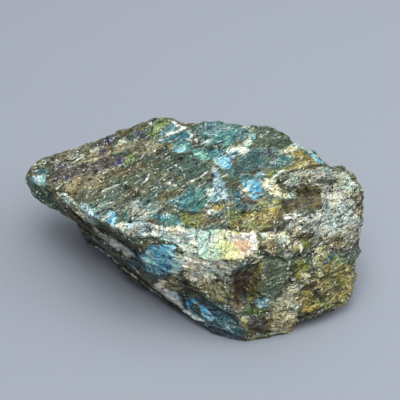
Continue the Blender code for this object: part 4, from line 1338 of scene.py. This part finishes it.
# each chip and grain is tilted its own way, and is more or less polished
height = blend(
    ((shade["small"], 0.4), (streaked, 0.4), (shade["large"], 0.4), (shade["speck"], 0.3))
)
strength, rise = BUMP
tilted = node("ShaderNodeBump", strength, rise * MM, None, height).outputs[0]
for name, tilt in CHIP_TILTS.items():
    off_middle = vector("SUBTRACT", way[name], (0.5, 0.5, 0.5))
    tilted = vector("ADD", tilted, vector("SCALE", off_middle, None, None, tilt))
polish = blend(((hue["small"], 0.6), (hue["speck"], 0.4)))
shader = tree.nodes["Principled BSDF"]
richer = node("ShaderNodeHueSaturation", 0.5, RICHNESS, 1.0, 1.0, colour).outputs[0]
wire(shader.inputs["Base Color"], richer)
wire(shader.inputs["Roughness"], step(polish, 0.2, 0.8, *POLISH))
wire(shader.inputs["Normal"], vector("NORMALIZE", tilted))
wire(shader.inputs["Specular IOR Level"], 0.5)

mesh.materials.append(material)
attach(stone, "root")
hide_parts("labradorite_chunk")

# === The ground ===========================================================================
# A plain pale sheet, large enough to fill the view.

SHEET = 3.0  # metres from its middle to each side
SHEET_PAINT = (132, 138, 147)
sheet = bpy.data.meshes.new("ground")
corners = [(x * SHEET, y * SHEET, 0) for x, y in ((-1, -1), (1, -1), (1, 1), (-1, 1))]
sheet.from_pydata(corners, [], [(0, 1, 2, 3)])
ground = bpy.data.objects.new("ground", sheet)
bpy.context.scene.collection.objects.link(ground)
paint = bpy.data.materials.new("ground")
paint.use_nodes = True
matt = paint.node_tree.nodes["Principled BSDF"].inputs
matt["Base Color"].default_value = linear(SHEET_PAINT)
matt["Roughness"].default_value = 0.9
matt["Specular IOR Level"].default_value = 0.1
sheet.materials.append(paint)

# === Light and camera =====================================================================
# Four large soft lamps hang above the stone, before and behind it and on its right, in an
# even sky, and a long lens looks down at it.

LAMPS = {  # each one's place in metres, and its watts
    "top": ((0.0, 0.0, 0.85), 4.9),
    "front": ((0.0, -0.425, 0.735), 3.4),
    "right": ((0.695, 0.0, 0.49), 4.4),
    "back": ((0.0, 0.425, 0.735), 2.9),
}
LAMP_SIZE = 0.6
LIT_POINT = (0, 0, 0.02)
SKY, SKY_STRENGTH = (0.93, 0.96, 1.0, 1), 0.27
AIM = (0.0035, 0.012, 0.020)  # the point in the middle of the view, in metres
ELEVATION = np.radians(38)  # of the camera, above the front
FAR = 0.4  # metres from the camera to that point

for name, (place, watts) in LAMPS.items():
    light = bpy.data.lights.new(name, "AREA")
    light.size, light.energy = LAMP_SIZE, watts
    lamp = bpy.data.objects.new(name, light)
    lamp.location = place
    lamp.rotation_euler = (Vector(LIT_POINT) - Vector(place)).to_track_quat("-Z", "Y").to_euler()
    bpy.context.scene.collection.objects.link(lamp)

world = bpy.data.worlds.new("studio")
world.use_nodes = True
world.node_tree.nodes["Background"].inputs["Color"].default_value = SKY
world.node_tree.nodes["Background"].inputs["Strength"].default_value = SKY_STRENGTH
bpy.context.scene.world = world
bpy.context.scene.view_settings.view_transform = "Standard"

lens = bpy.data.cameras.new("camera")
lens.lens, lens.sensor_width, lens.clip_start = 100, 36, 0.01
camera = bpy.data.objects.new("camera", lens)
camera.location = Vector(AIM) + FAR * Vector((0, -np.cos(ELEVATION), np.sin(ELEVATION)))
camera.rotation_euler = Euler((np.pi / 2 - ELEVATION, 0, 0))
bpy.context.scene.collection.objects.link(camera)
bpy.context.scene.camera = camera
